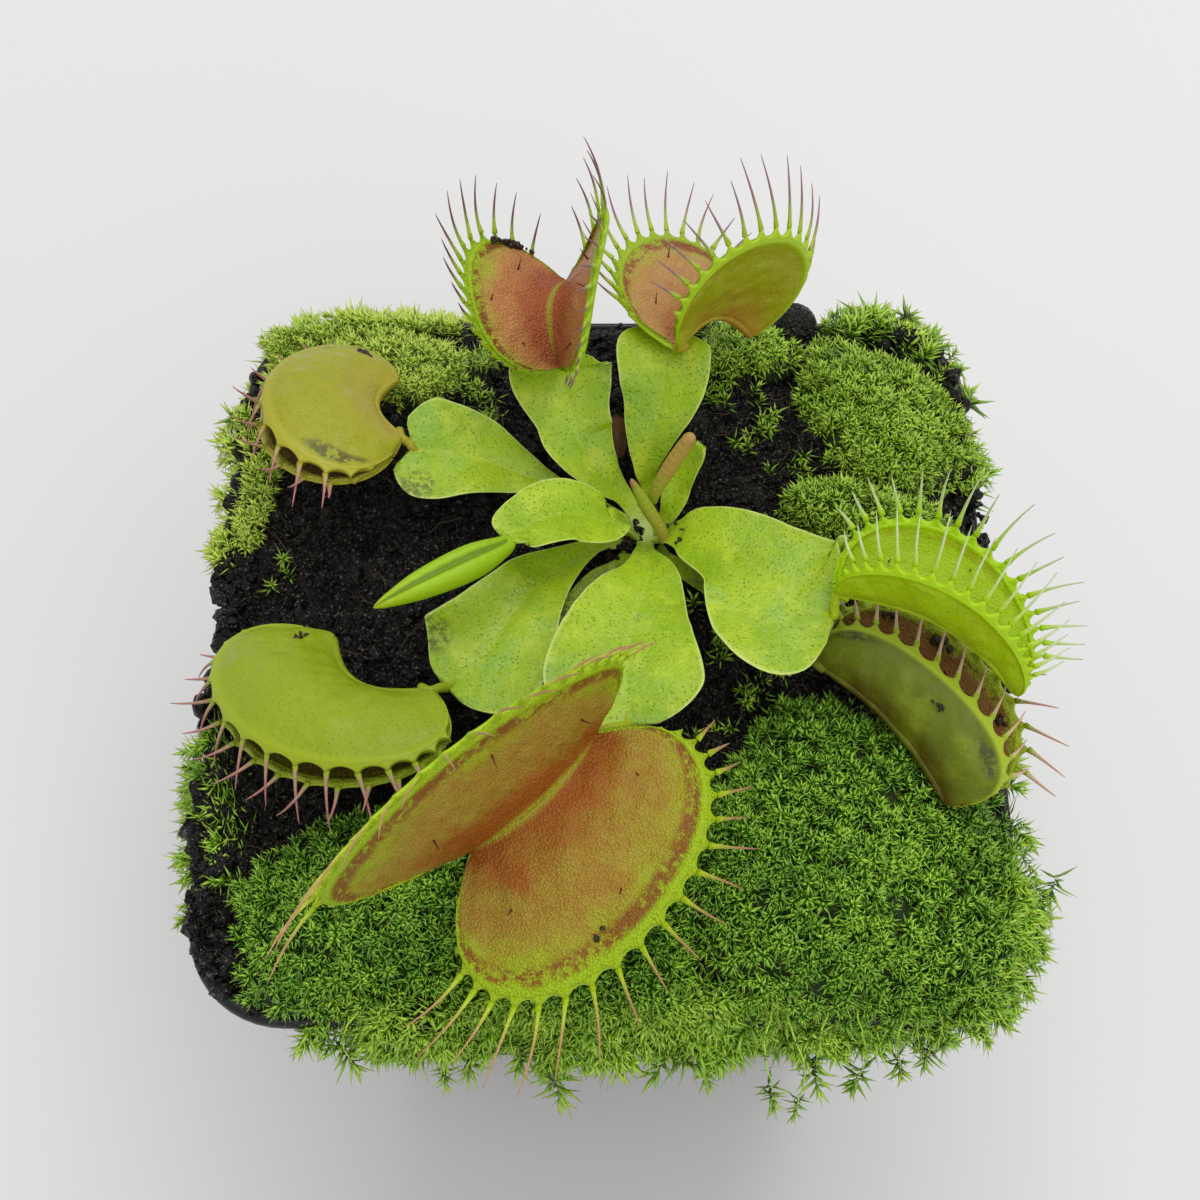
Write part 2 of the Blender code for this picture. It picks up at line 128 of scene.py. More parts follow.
# Traps: neck, heading, pitch and roll of the midrib, its length and arch, how far the lobes fan
# out, each lobe's gape at the midrib and at the margin, depth, skew and squareness, then the
# teeth: how many a lobe, their length, and where along the margin they are longest. Lean is, for
# each lobe, how far its teeth lean in, how far they sweep along the midrib and how they fan.
TRAPS = {
    "trap_front": dict(
        neck=(-1.1, -17.4, 17.1), heading=221, pitch=-15, roll=-38, midrib=15.0, arch=2.8,
        spread=59, gape=((55, 55), (52, 56)), deep=(13.6, 14.7), skew=(0.34, 0.15), square=(12.0, 3.4),
        teeth=(27, 8.6, 0.28), lean=((46, -0.1, 1.3), (46, 0.0, 0.65)), toothed=0.66, stalk="petiole_front",
        web=1.25, finish="copper",
    ),
    "trap_back_left": dict(
        neck=(-4.5, 21.4, 18.6), heading=86, pitch=15, roll=-20, midrib=8.7, arch=3.6,
        spread=30, gape=((63, 26), (43, 48)), deep=(10.8, 8.4), skew=(0.3, 0.3), square=(4.0, 4.0),
        teeth=(20, 6.0, 0.4), lean=((19, -0.33, 0.4), (50, 0.3, 0.1)), toothed=0.85,
        stalk="petiole_back_left", web=1.25, finish="brick",
    ),
    "trap_back": dict(
        neck=(7.1, 22.9, 19.6), heading=31, pitch=-27, roll=-39, midrib=10.2, arch=2.7,
        spread=41, gape=((41, 40), (55, 49)), deep=(11.1, 11.9), skew=(0.08, 0.08), square=(2.2, 2.2),
        teeth=(22, 6.6, 0.05), lean=((41, -0.25, 0.3), (20, 0.3, 0.2)), toothed=0.66, stalk="petiole_back",
        web=1.25, finish="salmon",
    ),
    "trap_left": dict(
        neck=(-20.9, 16.9, 12.4), heading=97, pitch=-21, roll=-79, midrib=10.2, arch=2.6,
        spread=72, gape=((50, -36), (44, -34)), deep=(12.5, 12.5), skew=(-0.25, -0.25), square=(2.2, 2.2),
        teeth=(18, 4.2, -0.3), lean=((30, -0.5, 0.1), (10, -0.4, 0.1)), toothed=0.56, stalk="petiole_left",
        web=0.8, finish="olive",
    ),
    "trap_front_left": dict(
        neck=(-16.6, -11.6, 13.2), heading=142, pitch=-22, roll=-82, midrib=14.0, arch=3.3,
        spread=77, gape=((48, -34), (40, -30)), deep=(12.0, 12.0), skew=(0.2, 0.2), square=(5.0, 5.0),
        teeth=(21, 5.4, -0.1), lean=((14, -0.2, 0.1), (-6, -0.2, 0.1)), toothed=0.54,
        stalk="petiole_front_left", web=0.8, finish="green",
    ),
    "trap_right_open": dict(
        neck=(21.6, -3.6, 18.0), heading=-25, pitch=-16, roll=-29, midrib=19.5, arch=2.9,
        spread=32, gape=((30, 20), (70, 8)), deep=(6.0, 8.0), skew=(-0.35, -0.35), square=(2.0, 2.0),
        teeth=(24, 6.2, 0.0), lean=((34, -0.16, 0.25), (20, -0.07, 0.46)), toothed=0.66,
        stalk="petiole_right", web=1.25, finish="lime",
    ),
    "trap_right_closing": dict(
        neck=(20.1, -7.5, 11.1), heading=-47, pitch=-12, roll=-67, midrib=18.2, arch=1.5,
        spread=36, gape=((60, -24), (50, -12)), deep=(7.5, 11.3), skew=(0.2, 0.1), square=(4.0, 2.6),
        teeth=(18, 6.2, 0.1), lean=((27, -0.3, -0.1), (56, 0.3, 0.5)), toothed=0.66,
        stalk="petiole_right_low", web=1.25, finish="shade",
    ),
}

# How each trap is finished: how strong its grain is (pebble bumps with painted shade and highlight),
# how green its inside goes towards the margin, and its colours: outside, outside low down, inside,
# inside towards the midrib, band under the margin, margin, tooth base and tooth tip.
FINISHES = {
    "copper": (1.0, 0.75, "8ea612", "a8a824", "b09430", "a65c14", "8a3a18", "a8c80c", "bccc3c", "c09468"),
    "brick": (1.0, 0.75, "94ac14", "a0a824", "c88a50", "ae5c32", "84281c", "a2c414", "b0c83c", "7e5a5c"),
    "salmon": (1.0, 0.75, "9c9c0a", "ac8428", "cc9c5c", "bc7a44", "983632", "aac81c", "aec044", "9a747c"),
    "olive": (1.0, 0.75, "9c9e22", "a89a2c", "93602f", "93502f", "8a5a2c", "aca830", "b89a70", "bc7c74"),
    "green": (1.0, 0.75, "94a61c", "8c9e14", "93602f", "93502f", "7a6a2c", "a0b220", "b09470", "b87c78"),
    "lime": (0.35, 0.6, "a8c406", "a2b60c", "a6c60e", "acc60e", "a8b020", "aed60a", "bedc5c", "cfdca8"),
    "shade": (0.8, 0.1, "667408", "5a5010", "8a541e", "7a441a", "7a4a1c", "a4b824", "c8b884", "dca898"),
}

# Furled growth: x, y, height above the rim, radius.
RODS = {
    "trap_young": (
        (-9.4, 2.0, 17.8, 0.8), (-9.9, 1.3, 17.9, 1.1), (-12.8, -0.8, 18.7, 1.75),
        (-17.3, -3.7, 19.6, 1.4), (-21.4, -6.2, 20.0, 0.3),
    ),
    "trap_new": (
        (4.6, 9.4, 12.6, 0.6), (4.9, 9.7, 14.0, 0.72), (6.5, 10.9, 17.4, 0.86), (8.3, 11.9, 21.0, 0.74),
    ),
    "shoot_new": (
        (5.9, 6.6, 9.4, 0.55), (5.3, 7.2, 11.2, 0.68), (3.9, 8.2, 13.8, 0.72), (2.4, 9.4, 16.8, 0.3),
    ),
}

# Moss cushions: x, y, half-length, half-width, turn in degrees, height.
MOSS = {
    "moss_back_left": (-25.5, 32.0, 12.5, 5.6, -10, 3.6),
    "moss_left": (-37.2, 17.0, 9.0, 2.0, 88, 2.2),
    "moss_back_middle": (15.6, 33.4, 6.4, 4.2, 8, 3.6),
    "moss_back_right": (30.2, 24.6, 11.0, 8.4, -52, 5.0),
    "moss_middle_right": (27.0, 10.8, 9.4, 4.0, -6, 4.6),
    "moss_front_right": (23.0, -26.0, 17.2, 15.0, 8, 4.8),
    "moss_front_left": (-22.6, -31.0, 13.4, 9.0, -4, 4.2),
    "moss_front_middle": (-1.0, -33.0, 9.4, 8.4, 0, 3.8),
}
MOSS_LIFT = 0.6
MOSS_EDGE = 0.9

# Moss that hangs over the rim: from and to, as angles round the pot in degrees anticlockwise from
# the right, then how many shoots and which cushion they belong to.
FRINGE = (
    (235, 264, 220, "moss_front_left"),
    (262, 284, 200, "moss_front_middle"),
    (282, 326, 360, "moss_front_right"),
    (274, 302, 170, "moss_front_right"),
    (250, 270, 90, "moss_front_left"),
    (196, 216, 110, "moss_front_left"),
    (326, 350, 30, "moss_front_right"),
    (24, 58, 110, "moss_back_right"),
    (108, 146, 160, "moss_back_left"),
    (146, 168, 80, "moss_left"),
    (66, 80, 16, "moss_back_middle"),
)
# Stems that hang over the front rim: x, how far out and how far down their ends are.
STEMS = (
    (-23.4, 3.2, 2.2), (-15.2, 4.6, 3.4), (-12.6, 3.4, 4.6), (-4.6, 5.6, 5.2), (4.4, 4.0, 3.0),
    (9.0, 4.4, 4.2), (15.0, 6.6, 3.4), (17.2, 7.2, 4.6), (23.6, 4.6, 5.0), (27.0, 3.8, 3.4), (-9.0, 3.4, 2.4),
    (1.0, 3.6, 2.6), (20.0, 5.0, 3.0), (31.0, 3.0, 2.6),
)
# Lone sprigs on bare peat: x, y.
SPRIGS = (
    (14.5, 20.0), (17.0, 22.5), (12.0, -5.0), (14.5, -9.5), (20.0, 17.0), (16.0, 8.5), (11.5, 0.5),
    (-12.5, 23.5), (-29.5, -13.0), (17.5, -6.5), (9.5, -13.5), (25.0, 17.5), (-5.5, -23.5), (13.0, 26.5),
    (-33.0, 6.0), (-14.5, 27.5), (19.0, -1.5), (21.0, 27.0),
)


# ---------------------------------------------------------------- numbers and curves


def shade(code):
    """Linear colour of a six-digit sRGB code."""
    channels = (int(code[i:i + 2], 16) / 255 for i in (0, 2, 4))
    return tuple(((c + 0.055) / 1.055) ** 2.4 if c > 0.04 else c / 12.92 for c in channels)


def unit(vectors):
    """Vectors scaled to length one along the last axis."""
    vectors = np.asarray(vectors, float)
    return vectors / np.maximum(np.linalg.norm(vectors, axis=-1, keepdims=True), 1e-9)


def hashed(cells, seed):
    """One repeatable number from 0 to 1 for each integer cell."""
    n = cells[..., 0] * 73856093 ^ cells[..., 1] * 19349663 ^ cells[..., 2] * 83492791 ^ seed * 6271
    n = (n ^ (n >> 13)) * 1274126177 & 0x7FFFFFFF
    return ((n ^ (n >> 15)) & 0xFFFFF) / 0xFFFFF


def noise(points, size, seed=0):
    """Smooth noise from -1 to 1 with features of the given size."""
    place = np.asarray(points, float) / size
    cell = np.floor(place).astype(np.int64)
    t = place - cell
    t = t * t * (3 - 2 * t)
    total = 0.0
    for corner in np.ndindex(2, 2, 2):
        weight = 1.0
        for k in range(3):
            weight = weight * (t[..., k] if corner[k] else 1 - t[..., k])
        total = total + weight * hashed(cell + np.array(corner), seed)
    return 2 * total - 1


def fractal(points, size, octaves=3, seed=0):
    """Noise of several sizes, each half the last and half as strong."""
    return sum(noise(points, size / 2**k, seed + k) / 2**k for k in range(octaves))


def grains(points, size, seed=0):
    """Distance to the nearest of the scattered grain centres, in grain sizes."""
    place = np.asarray(points, float) / size
    cell = np.floor(place).astype(np.int64)
    best = np.full(place.shape[:-1], 9.0)
    for offset in np.ndindex(3, 3, 3):
        near = cell + (np.array(offset) - 1)
        centre = near + np.stack([hashed(near, seed + k) for k in (1, 2, 3)], -1)
        best = np.minimum(best, ((place - centre) ** 2).sum(-1))
    return np.sqrt(best)


def smooth_rows(rows, steps):
    """Read a smooth curve through the rows."""
    rows = np.asarray(rows, float)
    rows = np.vstack([2 * rows[0] - rows[1], rows, 2 * rows[-1] - rows[-2]])
    spans = len(rows) - 3
    place = np.linspace(0, spans, steps + 1)
    first = np.minimum(place.astype(int), spans - 1)
    t = (place - first)[:, None]
    a, b, c, d = (rows[first + k] for k in range(4))
    return 0.5 * (2 * b + (c - a) * t + (2 * a - 5 * b + 4 * c - d) * t**2 + (3 * b - a - 3 * c + d) * t**3)


def ground(x, y):
    """Height of the peat above the rim."""
    x, y = np.asarray(x, float), np.asarray(y, float)
    reach = np.minimum(1.0, (np.abs(x) ** 4 + np.abs(y) ** 4) ** 0.25 / 39.5)
    return 7.0 * (1 - reach**2.2) + 0.5 * np.sin(x / 6 + 1) * np.cos(y / 7) * (1 - reach)


def rounded_square(half, corner, height, per_corner=12, per_side=14):
    """Points of a square with round corners, anticlockwise, at one height."""
    points = []
    for quarter in range(4):
        turn = math.pi / 2 * quarter
        for i in range(per_corner):
            angle = turn + math.pi / 2 * i / (per_corner - 1)
            out = (half - corner) * math.sqrt(2)
            points.append((
                out * math.cos(turn + math.pi / 4) + corner * math.cos(angle),
                out * math.sin(turn + math.pi / 4) + corner * math.sin(angle),
            ))
        reach = half - corner
        for i in range(1, per_side):
            slide = reach - 2 * reach * i / per_side
            points.append((
                slide * math.cos(turn) - half * math.sin(turn),
                slide * math.sin(turn) + half * math.cos(turn),
            ))
    return np.column_stack([np.array(points), np.full(len(points), height)])


# ---------------------------------------------------------------- meshes


def grid_faces(rows, columns, wrap=False, flip=False, first=0):
    """Quads of a grid of points stored row by row; wrap joins the last column to the first."""
    i, j = np.meshgrid(np.arange(rows - 1), np.arange(columns if wrap else columns - 1), indexing="ij")
    k = (j + 1) % columns
    quads = np.stack([i * columns + j, i * columns + k, (i + 1) * columns + k, (i + 1) * columns + j], -1)
    quads = quads.reshape(-1, 4) + first
    return quads[:, ::-1] if flip else quads


class Build:
    """Collects points, faces and per-point values of one piece."""

    def __init__(self):
        self.points, self.faces, self.values, self.count = [], [], {}, 0

    def add(self, points, *faces, **values):
        """Add points and the faces between them, numbered from their first point."""
        points = np.asarray(points, float).reshape(-1, 3)
        self.points.append(points)
        self.faces.extend(np.asarray(f) + self.count for f in faces if len(f))
        for name in set(self.values) | set(values):
            kept = self.values.setdefault(name, [np.zeros(self.count)])
            kept.append(np.broadcast_to(np.asarray(values.get(name, 0.0), float), (len(points),)))
        self.count += len(points)

    def tube(self, path, radius, sides=8, flat=None, **values):
        """A tapering round rod along a path with closed ends; flat widens it along that way."""
        path = np.asarray(path, float)
        radius = np.broadcast_to(np.asarray(radius, float), (len(path),))
        along = unit(np.gradient(path, axis=0))
        if flat is None:
            flat = unit(np.cross(along[0], (0.31, 0.22, 0.93)))
            wide = radius
        else:
            flat, wide = flat
        side = unit(flat - along * (along @ np.asarray(flat))[:, None])
        up = np.cross(along, side)
        angles = 2 * math.pi * np.arange(sides) / sides
        ring = side[:, None] * (np.cos(angles)[:, None] * np.asarray(wide)[:, None, None])
        ring = ring + up[:, None] * (np.sin(angles)[:, None] * radius[:, None, None])
        points = (path[:, None] + ring).reshape(-1, 3)
        last = (len(path) - 1) * sides
        caps = [np.arange(sides)[None, ::-1], (last + np.arange(sides))[None]]
        spread = {k: np.repeat(np.broadcast_to(v, (len(path),)), sides) for k, v in values.items()}
        self.add(points, grid_faces(len(path), sides, wrap=True), *caps, **spread)

    def copies(self, points, faces, places, scales, turns, **values):
        """Copy one small shape to many places, each with its own scale and turn."""
        count = len(places)
        moved = np.einsum("nij,nkj->nki", turns, points[None] * scales[:, None]) + places[:, None]
        shift = (np.arange(count) * len(points))[:, None, None]
        spread = {k: np.repeat(v, len(points)) for k, v in values.items()}
        self.add(moved.reshape(-1, 3), (faces[None] + shift).reshape(-1, faces.shape[1]), **spread)

    def finish(self, name, material, slot, *nodes):
        """Make the piece, let it ride on the root and stand for its nodes."""
        mesh = bpy.data.meshes.new(name)
        points = np.concatenate(self.points) * MM
        mesh.vertices.add(len(points))
        mesh.vertices.foreach_set("co", points.astype(np.float32).ravel())
        sizes = np.concatenate([np.full(len(f), f.shape[1]) for f in self.faces])
        corners = np.concatenate([f.ravel() for f in self.faces])
        mesh.loops.add(len(corners))
        mesh.loops.foreach_set("vertex_index", corners.astype(np.int32))
        mesh.polygons.add(len(sizes))
        starts = np.concatenate([[0], np.cumsum(sizes)[:-1]])
        mesh.polygons.foreach_set("loop_start", starts.astype(np.int32))
        mesh.update(calc_edges=True)
        if mesh.validate():
            raise RuntimeError(f"{name} has broken faces")
        for key, kept in self.values.items():
            attribute = mesh.attributes.new(key, "FLOAT", "POINT")
            attribute.data.foreach_set("value", np.concatenate(kept).astype(np.float32))
        mesh.materials.append(material)
        mesh.shade_smooth()
        piece = bpy.data.objects.new(name, mesh)
        bpy.context.scene.collection.objects.link(piece)
        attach(piece, "root")
        if nodes:
            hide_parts(*nodes)
        return piece


def thin_sheet(build, surface, normal, above, below, **values):
    """A closed skin: a grid of points, pushed out along its normals to both sides."""
    rows, columns = surface.shape[:2]
    top = surface + normal * np.broadcast_to(above, surface.shape[:2])[..., None]
    bottom = surface - normal * np.broadcast_to(below, surface.shape[:2])[..., None]
    count = rows * columns
    index = np.arange(count).reshape(rows, columns)
    around = np.concatenate([index[0, :-1], index[:-1, -1], index[-1, :0:-1], index[:0:-1, 0]])
    after = np.roll(around, -1)
    edge = np.stack([around, around + count, after + count, after], -1)
    spread = {k: np.concatenate([v.ravel(), v.ravel()]) for k, v in values.items()}
    inner = np.concatenate([np.ones(count), np.zeros(count)])
    build.add(
        np.concatenate([top.reshape(-1, 3), bottom.reshape(-1, 3)]),
        grid_faces(rows, columns, flip=True),
        grid_faces(rows, columns, first=count),
        edge[:, ::-1],
        inner=inner,
        **spread,
    )


def ball(subdivisions):
    """Points and faces of a small faceted ball of radius one."""
    bm = bmesh.new()
    bmesh.ops.create_icosphere(bm, subdivisions=subdivisions, radius=1.0)
    points = np.array([v.co for v in bm.verts])
    faces = np.array([[v.index for v in f.verts] for f in bm.faces])
    bm.free()
    return points, faces


def random_turns(rng, count):
    """Random rotations, as matrices."""
    first = unit(rng.normal(size=(count, 3)))
    second = unit(np.cross(first, rng.normal(size=(count, 3))))
    return np.stack([first, second, np.cross(first, second)], -1)


# ---------------------------------------------------------------- finishes


class Finish:
    """A material and short names for the shader nodes that it is made of."""

    def __init__(self, name, **sockets):
        self.material = bpy.data.materials.new(name)
        self.material.use_nodes = True
        self.tree = self.material.node_tree
        self.shader = self.tree.nodes["Principled BSDF"]
        for socket, value in sockets.items():
            self.shader.inputs[socket.replace("_", " ")].default_value = value
        where = self.tree.nodes.new("ShaderNodeTexCoord").outputs["Object"]
        self.where = self.node("ShaderNodeVectorMath", {0: where, 1: (1 / MM,) * 3}, operation="MULTIPLY")

    def node(self, kind, inputs, output=0, **settings):
        """Add a node, set or link its inputs and return one output."""
        made = self.tree.nodes.new(kind)
        for setting, value in settings.items():
            setattr(made, setting, value)
        for key, value in inputs.items():
            socket = made.inputs[key]
            if isinstance(value, bpy.types.NodeSocket):
                self.tree.links.new(value, socket)
            elif isinstance(value, tuple) and len(value) == 3 and socket.type == "RGBA":
                socket.default_value = (*value, 1.0)
            else:
                socket.default_value = value
        return made.outputs[output]

    def value(self, name):
        """A number stored on the mesh's points."""
        return self.node("ShaderNodeAttribute", {}, "Fac", attribute_name=name)

    def noise(self, size, detail=3.0, rough=0.55, stretch=(1, 1, 1)):
        """Noise whose features have the given size in millimetres."""
        scaled = self.node(
            "ShaderNodeVectorMath", {0: self.where, 1: tuple(1 / s for s in stretch)}, operation="MULTIPLY"
        )
        return self.node(
            "ShaderNodeTexNoise", {"Vector": scaled, "Scale": 1 / size, "Detail": detail, "Roughness": rough}
        )

    def cells(self, size, feature="F1", output="Distance"):
        """Distance inside scattered cells of the given size in millimetres."""
        inputs = {"Vector": self.where, "Scale": 1 / size}
        return self.node("ShaderNodeTexVoronoi", inputs, output, feature=feature)

    def sums(self, operation, a, b=0.0, clamp=False):
        """One step of arithmetic."""
        return self.node("ShaderNodeMath", {0: a, 1: b}, operation=operation, use_clamp=clamp)

    def fade(self, factor, low, high, start=0.0, end=1.0):
        """Map low..high smoothly to start..end."""
        inputs = {"Value": factor, "From Min": low, "From Max": high, "To Min": start, "To Max": end}
        return self.node("ShaderNodeMapRange", inputs, interpolation_type="SMOOTHSTEP")

    def mix(self, factor, a, b, mode="MIX"):
        """Mix two colours."""
        made = self.tree.nodes.new("ShaderNodeMix")
        made.data_type, made.blend_type = "RGBA", mode
        for socket, value in ((made.inputs[0], factor), (made.inputs[6], a), (made.inputs[7], b)):
            if isinstance(value, bpy.types.NodeSocket):
                self.tree.links.new(value, socket)
            elif isinstance(value, tuple):
                socket.default_value = (*value, 1.0)
            else:
                socket.default_value = value
        return made.outputs[2]

    def bump(self, height, depth, under=None):
        """Raise the surface by a height pattern, depth in millimetres."""
        inputs = {"Height": height, "Distance": depth * MM, "Strength": 1.0}
        if under is not None:
            inputs["Normal"] = under
        return self.node("ShaderNodeBump", inputs)

    def apply(self, colour=None, roughness=None, normal=None):
        """Link what varies over the surface to the shader."""
        for socket, value in (("Base Color", colour), ("Roughness", roughness), ("Normal", normal)):
            if value is not None:
                self.tree.links.new(value, self.shader.inputs[socket])
        return self.material


def pot_finish(settings):
    """Black moulded plastic: fine grain, scuffs, dried splashes of peat and a dusty foot."""
    f = Finish("pot_plastic", Specular_IOR_Level=0.45)
    height = f.node("ShaderNodeSeparateXYZ", {0: f.where}, "Z")
    dust = f.fade(f.noise(6.0, 5.0, 0.65), 0.42, 0.75)
    dust = f.sums("MULTIPLY", dust, f.fade(height, 24.0, 0.0, 0.25, 1.0))
    streak = f.fade(f.noise(1.6, 4.0, 0.6, (1, 1, 14)), 0.56, 0.74)
    specks = f.fade(f.cells(2.6), 0.16, 0.06)
    specks = f.sums("MULTIPLY", specks, f.fade(f.noise(9.0), 0.5, 0.68))
    colour = f.mix(f.noise(0.8), tuple(settings.colour), shade("17181a"))
    colour = f.mix(f.sums("MULTIPLY", dust, 0.26), colour, shade("57514a"))
    colour = f.mix(f.sums("MULTIPLY", streak, 0.16), colour, shade("6a6862"))
    colour = f.mix(f.sums("MULTIPLY", specks, 0.75), colour, shade("2b1d13"))
    rough = f.sums("ADD", f.fade(f.noise(3.0, 4.0), 0.3, 0.7, 0.34, 0.42), f.sums("MULTIPLY", dust, 0.2))
    scratch = f.fade(f.noise(0.7, 2.0, 0.5, (26, 26, 1)), 0.62, 0.72)
    normal = f.bump(f.noise(0.22, 2.0), 0.02)
    normal = f.bump(f.sums("ADD", scratch, f.sums("MULTIPLY", specks, 2.0)), 0.02, normal)
    return f.apply(colour, rough, normal)


def peat_finish(settings):
    """Wet dark peat: near black, brown where it dries, with glossy wet grains and pale flecks that are
    painted glints.
    """
    f = Finish("wet_peat", Specular_IOR_Level=0.4)
    brown = f.fade(f.noise(5.0, 5.0, 0.7), 0.56, 0.78)
    colour = f.mix(f.fade(f.noise(0.7, 5.0, 0.7), 0.4, 0.65), tuple(settings.colour), shade("120f0d"))
    colour = f.mix(f.sums("MULTIPLY", brown, 0.5), colour, shade("36261a"))
    # Pale flecks from fine noise: painted glints of the wet grains.
    colour = f.mix(f.fade(f.noise(0.3, 3.0, 0.7), 0.59, 0.64, 0.0, 0.8), colour, shade("a09486"))
    rough = f.fade(f.noise(0.9, 4.0, 0.7), 0.4, 0.6, 0.1, 0.55)
    normal = f.bump(f.noise(0.8, 6.0, 0.75), 1.3)
    normal = f.bump(f.cells(0.4), 0.4, normal)
    return f.apply(colour, rough, normal)


def fibre_finish():
    """Dry brown plant fibres."""
    f = Finish("peat_fibre", Roughness=0.7)
    return f.apply(f.mix(f.noise(1.5), shade("1d1510"), shade("5a4430")), None, f.bump(f.noise(0.3), 0.05))


def moss_finish(name, tip, middle, deep):
    """Moss leaves: dark at the stem and lower down the shoot as painted shade, lively green, light at their
    tips.
    """
    f = Finish(name, Specular_IOR_Level=0.8)
    # Darker towards each leaf's foot and down the shoot: painted shade inside the shoots and the cushion.
    lit = f.sums("SUBTRACT", f.value("tip"), f.sums("MULTIPLY", f.value("low"), 0.55))
    tint = f.value("tint")
    colour = f.mix(f.fade(lit, -0.5, 0.3), deep, middle)
    colour = f.mix(f.fade(f.sums("ADD", lit, f.sums("MULTIPLY", tint, 0.5)), 0.3, 1.1), colour, tip)
    colour = f.mix(f.fade(f.noise(7.0, 3.0), 0.42, 0.7, 0.0, 0.4), colour, middle)
    rough = f.fade(f.noise(0.9, 2.0), 0.35, 0.65, 0.12, 0.4)
    return f.apply(colour, rough, f.bump(f.noise(0.15, 2.0), 0.03))


def bed_finish():
    """Dark floor of the moss, between the shoots, coloured as painted shade deep in the cushion."""
    f = Finish("moss_bed", Roughness=0.8)
    # Dark green to near black: painted shade of the cushion's depths between the shoots.
    colour = f.mix(f.noise(1.2, 4.0), shade("131a08"), shade("33481a"))
    return f.apply(colour, None, f.bump(f.noise(0.5, 4.0), 0.3))


def petiole_finish(settings, name, young=0.0, dull=0.0):
    """Winged leaf stalk: bright green with pores, a pale edge and a faint blue painted sheen."""
    f = Finish(name, Specular_IOR_Level=0.34, Subsurface_Weight=0.08, Subsurface_Scale=0.5 * MM)
    f.shader.inputs["Subsurface Radius"].default_value = (0.8, 1.0, 0.1)
    across, along, inner = f.value("across"), f.value("along"), f.value("inner")
    edge = f.fade(across, 0.945, 0.99)
    rib = f.fade(across, 0.07, 0.0)
    colour = f.mix(f.fade(f.noise(6.5, 4.0, 0.6), 0.38, 0.64), tuple(settings.stalk), shade("86aa10"))
    colour = f.mix(f.fade(f.noise(2.6, 3.0), 0.48, 0.7, 0.0, 0.6), colour, shade("bccc30"))
    # Bluish patches towards the trap end, sparkling in fine noise: a painted sheen that stands in for gloss
    # reflections.
    painted_sheen = f.sums("MULTIPLY", f.fade(f.noise(5.0, 3.0, 0.5), 0.5, 0.66), f.fade(along, 0.35, 0.8))
    sheen_sparkle = f.fade(f.noise(0.35, 3.0, 0.7), 0.5, 0.62)
    painted_sheen = f.sums("MULTIPLY", painted_sheen, f.sums("ADD", 0.35, sheen_sparkle))
    colour = f.mix(f.sums("MULTIPLY", painted_sheen, 0.3 - 0.22 * young), colour, shade("8cc880"))
    pores = f.fade(f.cells(0.4), 0.3, 0.15)
    patch = f.fade(f.noise(3.0, 2.0), 0.3, 0.55, 0.35, 1.0)
    pores = f.sums("MULTIPLY", pores, patch)
    colour = f.mix(f.sums("MULTIPLY", pores, 0.75), colour, shade("50740a"))
    # Fine pale flecks: painted highlights.
    colour = f.mix(f.fade(f.noise(0.3, 3.0, 0.7), 0.42, 0.64, 0.0, 0.18), colour, shade("c2dc48"))
    colour = f.mix(f.sums("MULTIPLY", rib, 0.16), colour, shade("c4d24c"))
    colour = f.mix(f.sums("MULTIPLY", edge, 0.6), colour, shade("d2dc80"))
    colour = f.mix(f.fade(along, 0.14, 0.0, 0.0, 0.6), colour, shade("c2cc74"))
    if dull:
        colour = f.mix(f.fade(f.noise(1.6, 5.0, 0.7), 0.45, 0.7, 0.0, dull), colour, shade("6e6638"))
    mould = f.fade(f.value("mould"), 0.35, 0.75)
    spots = f.fade(f.noise(0.8, 4.0, 0.75), 0.46, 0.54)
    colour = f.mix(f.sums("MULTIPLY", f.sums("MULTIPLY", mould, spots), 0.7), colour, shade("4b461e"))
    colour = f.mix(f.sums("MULTIPLY", f.sums("SUBTRACT", 1.0, inner), 0.35), colour, shade("9cae3c"))
    rough = f.fade(f.noise(1.4, 4.0, 0.65), 0.38, 0.62, 0.22, 0.44)
    normal = f.bump(f.noise(1.6, 3.0, 0.6), 0.16)
    normal = f.bump(f.noise(0.4, 2.0, 0.6), 0.06, normal)
    normal = f.bump(f.sums("MULTIPLY", pores, -1.0), 0.03, normal)
    return f.apply(colour, rough, normal)


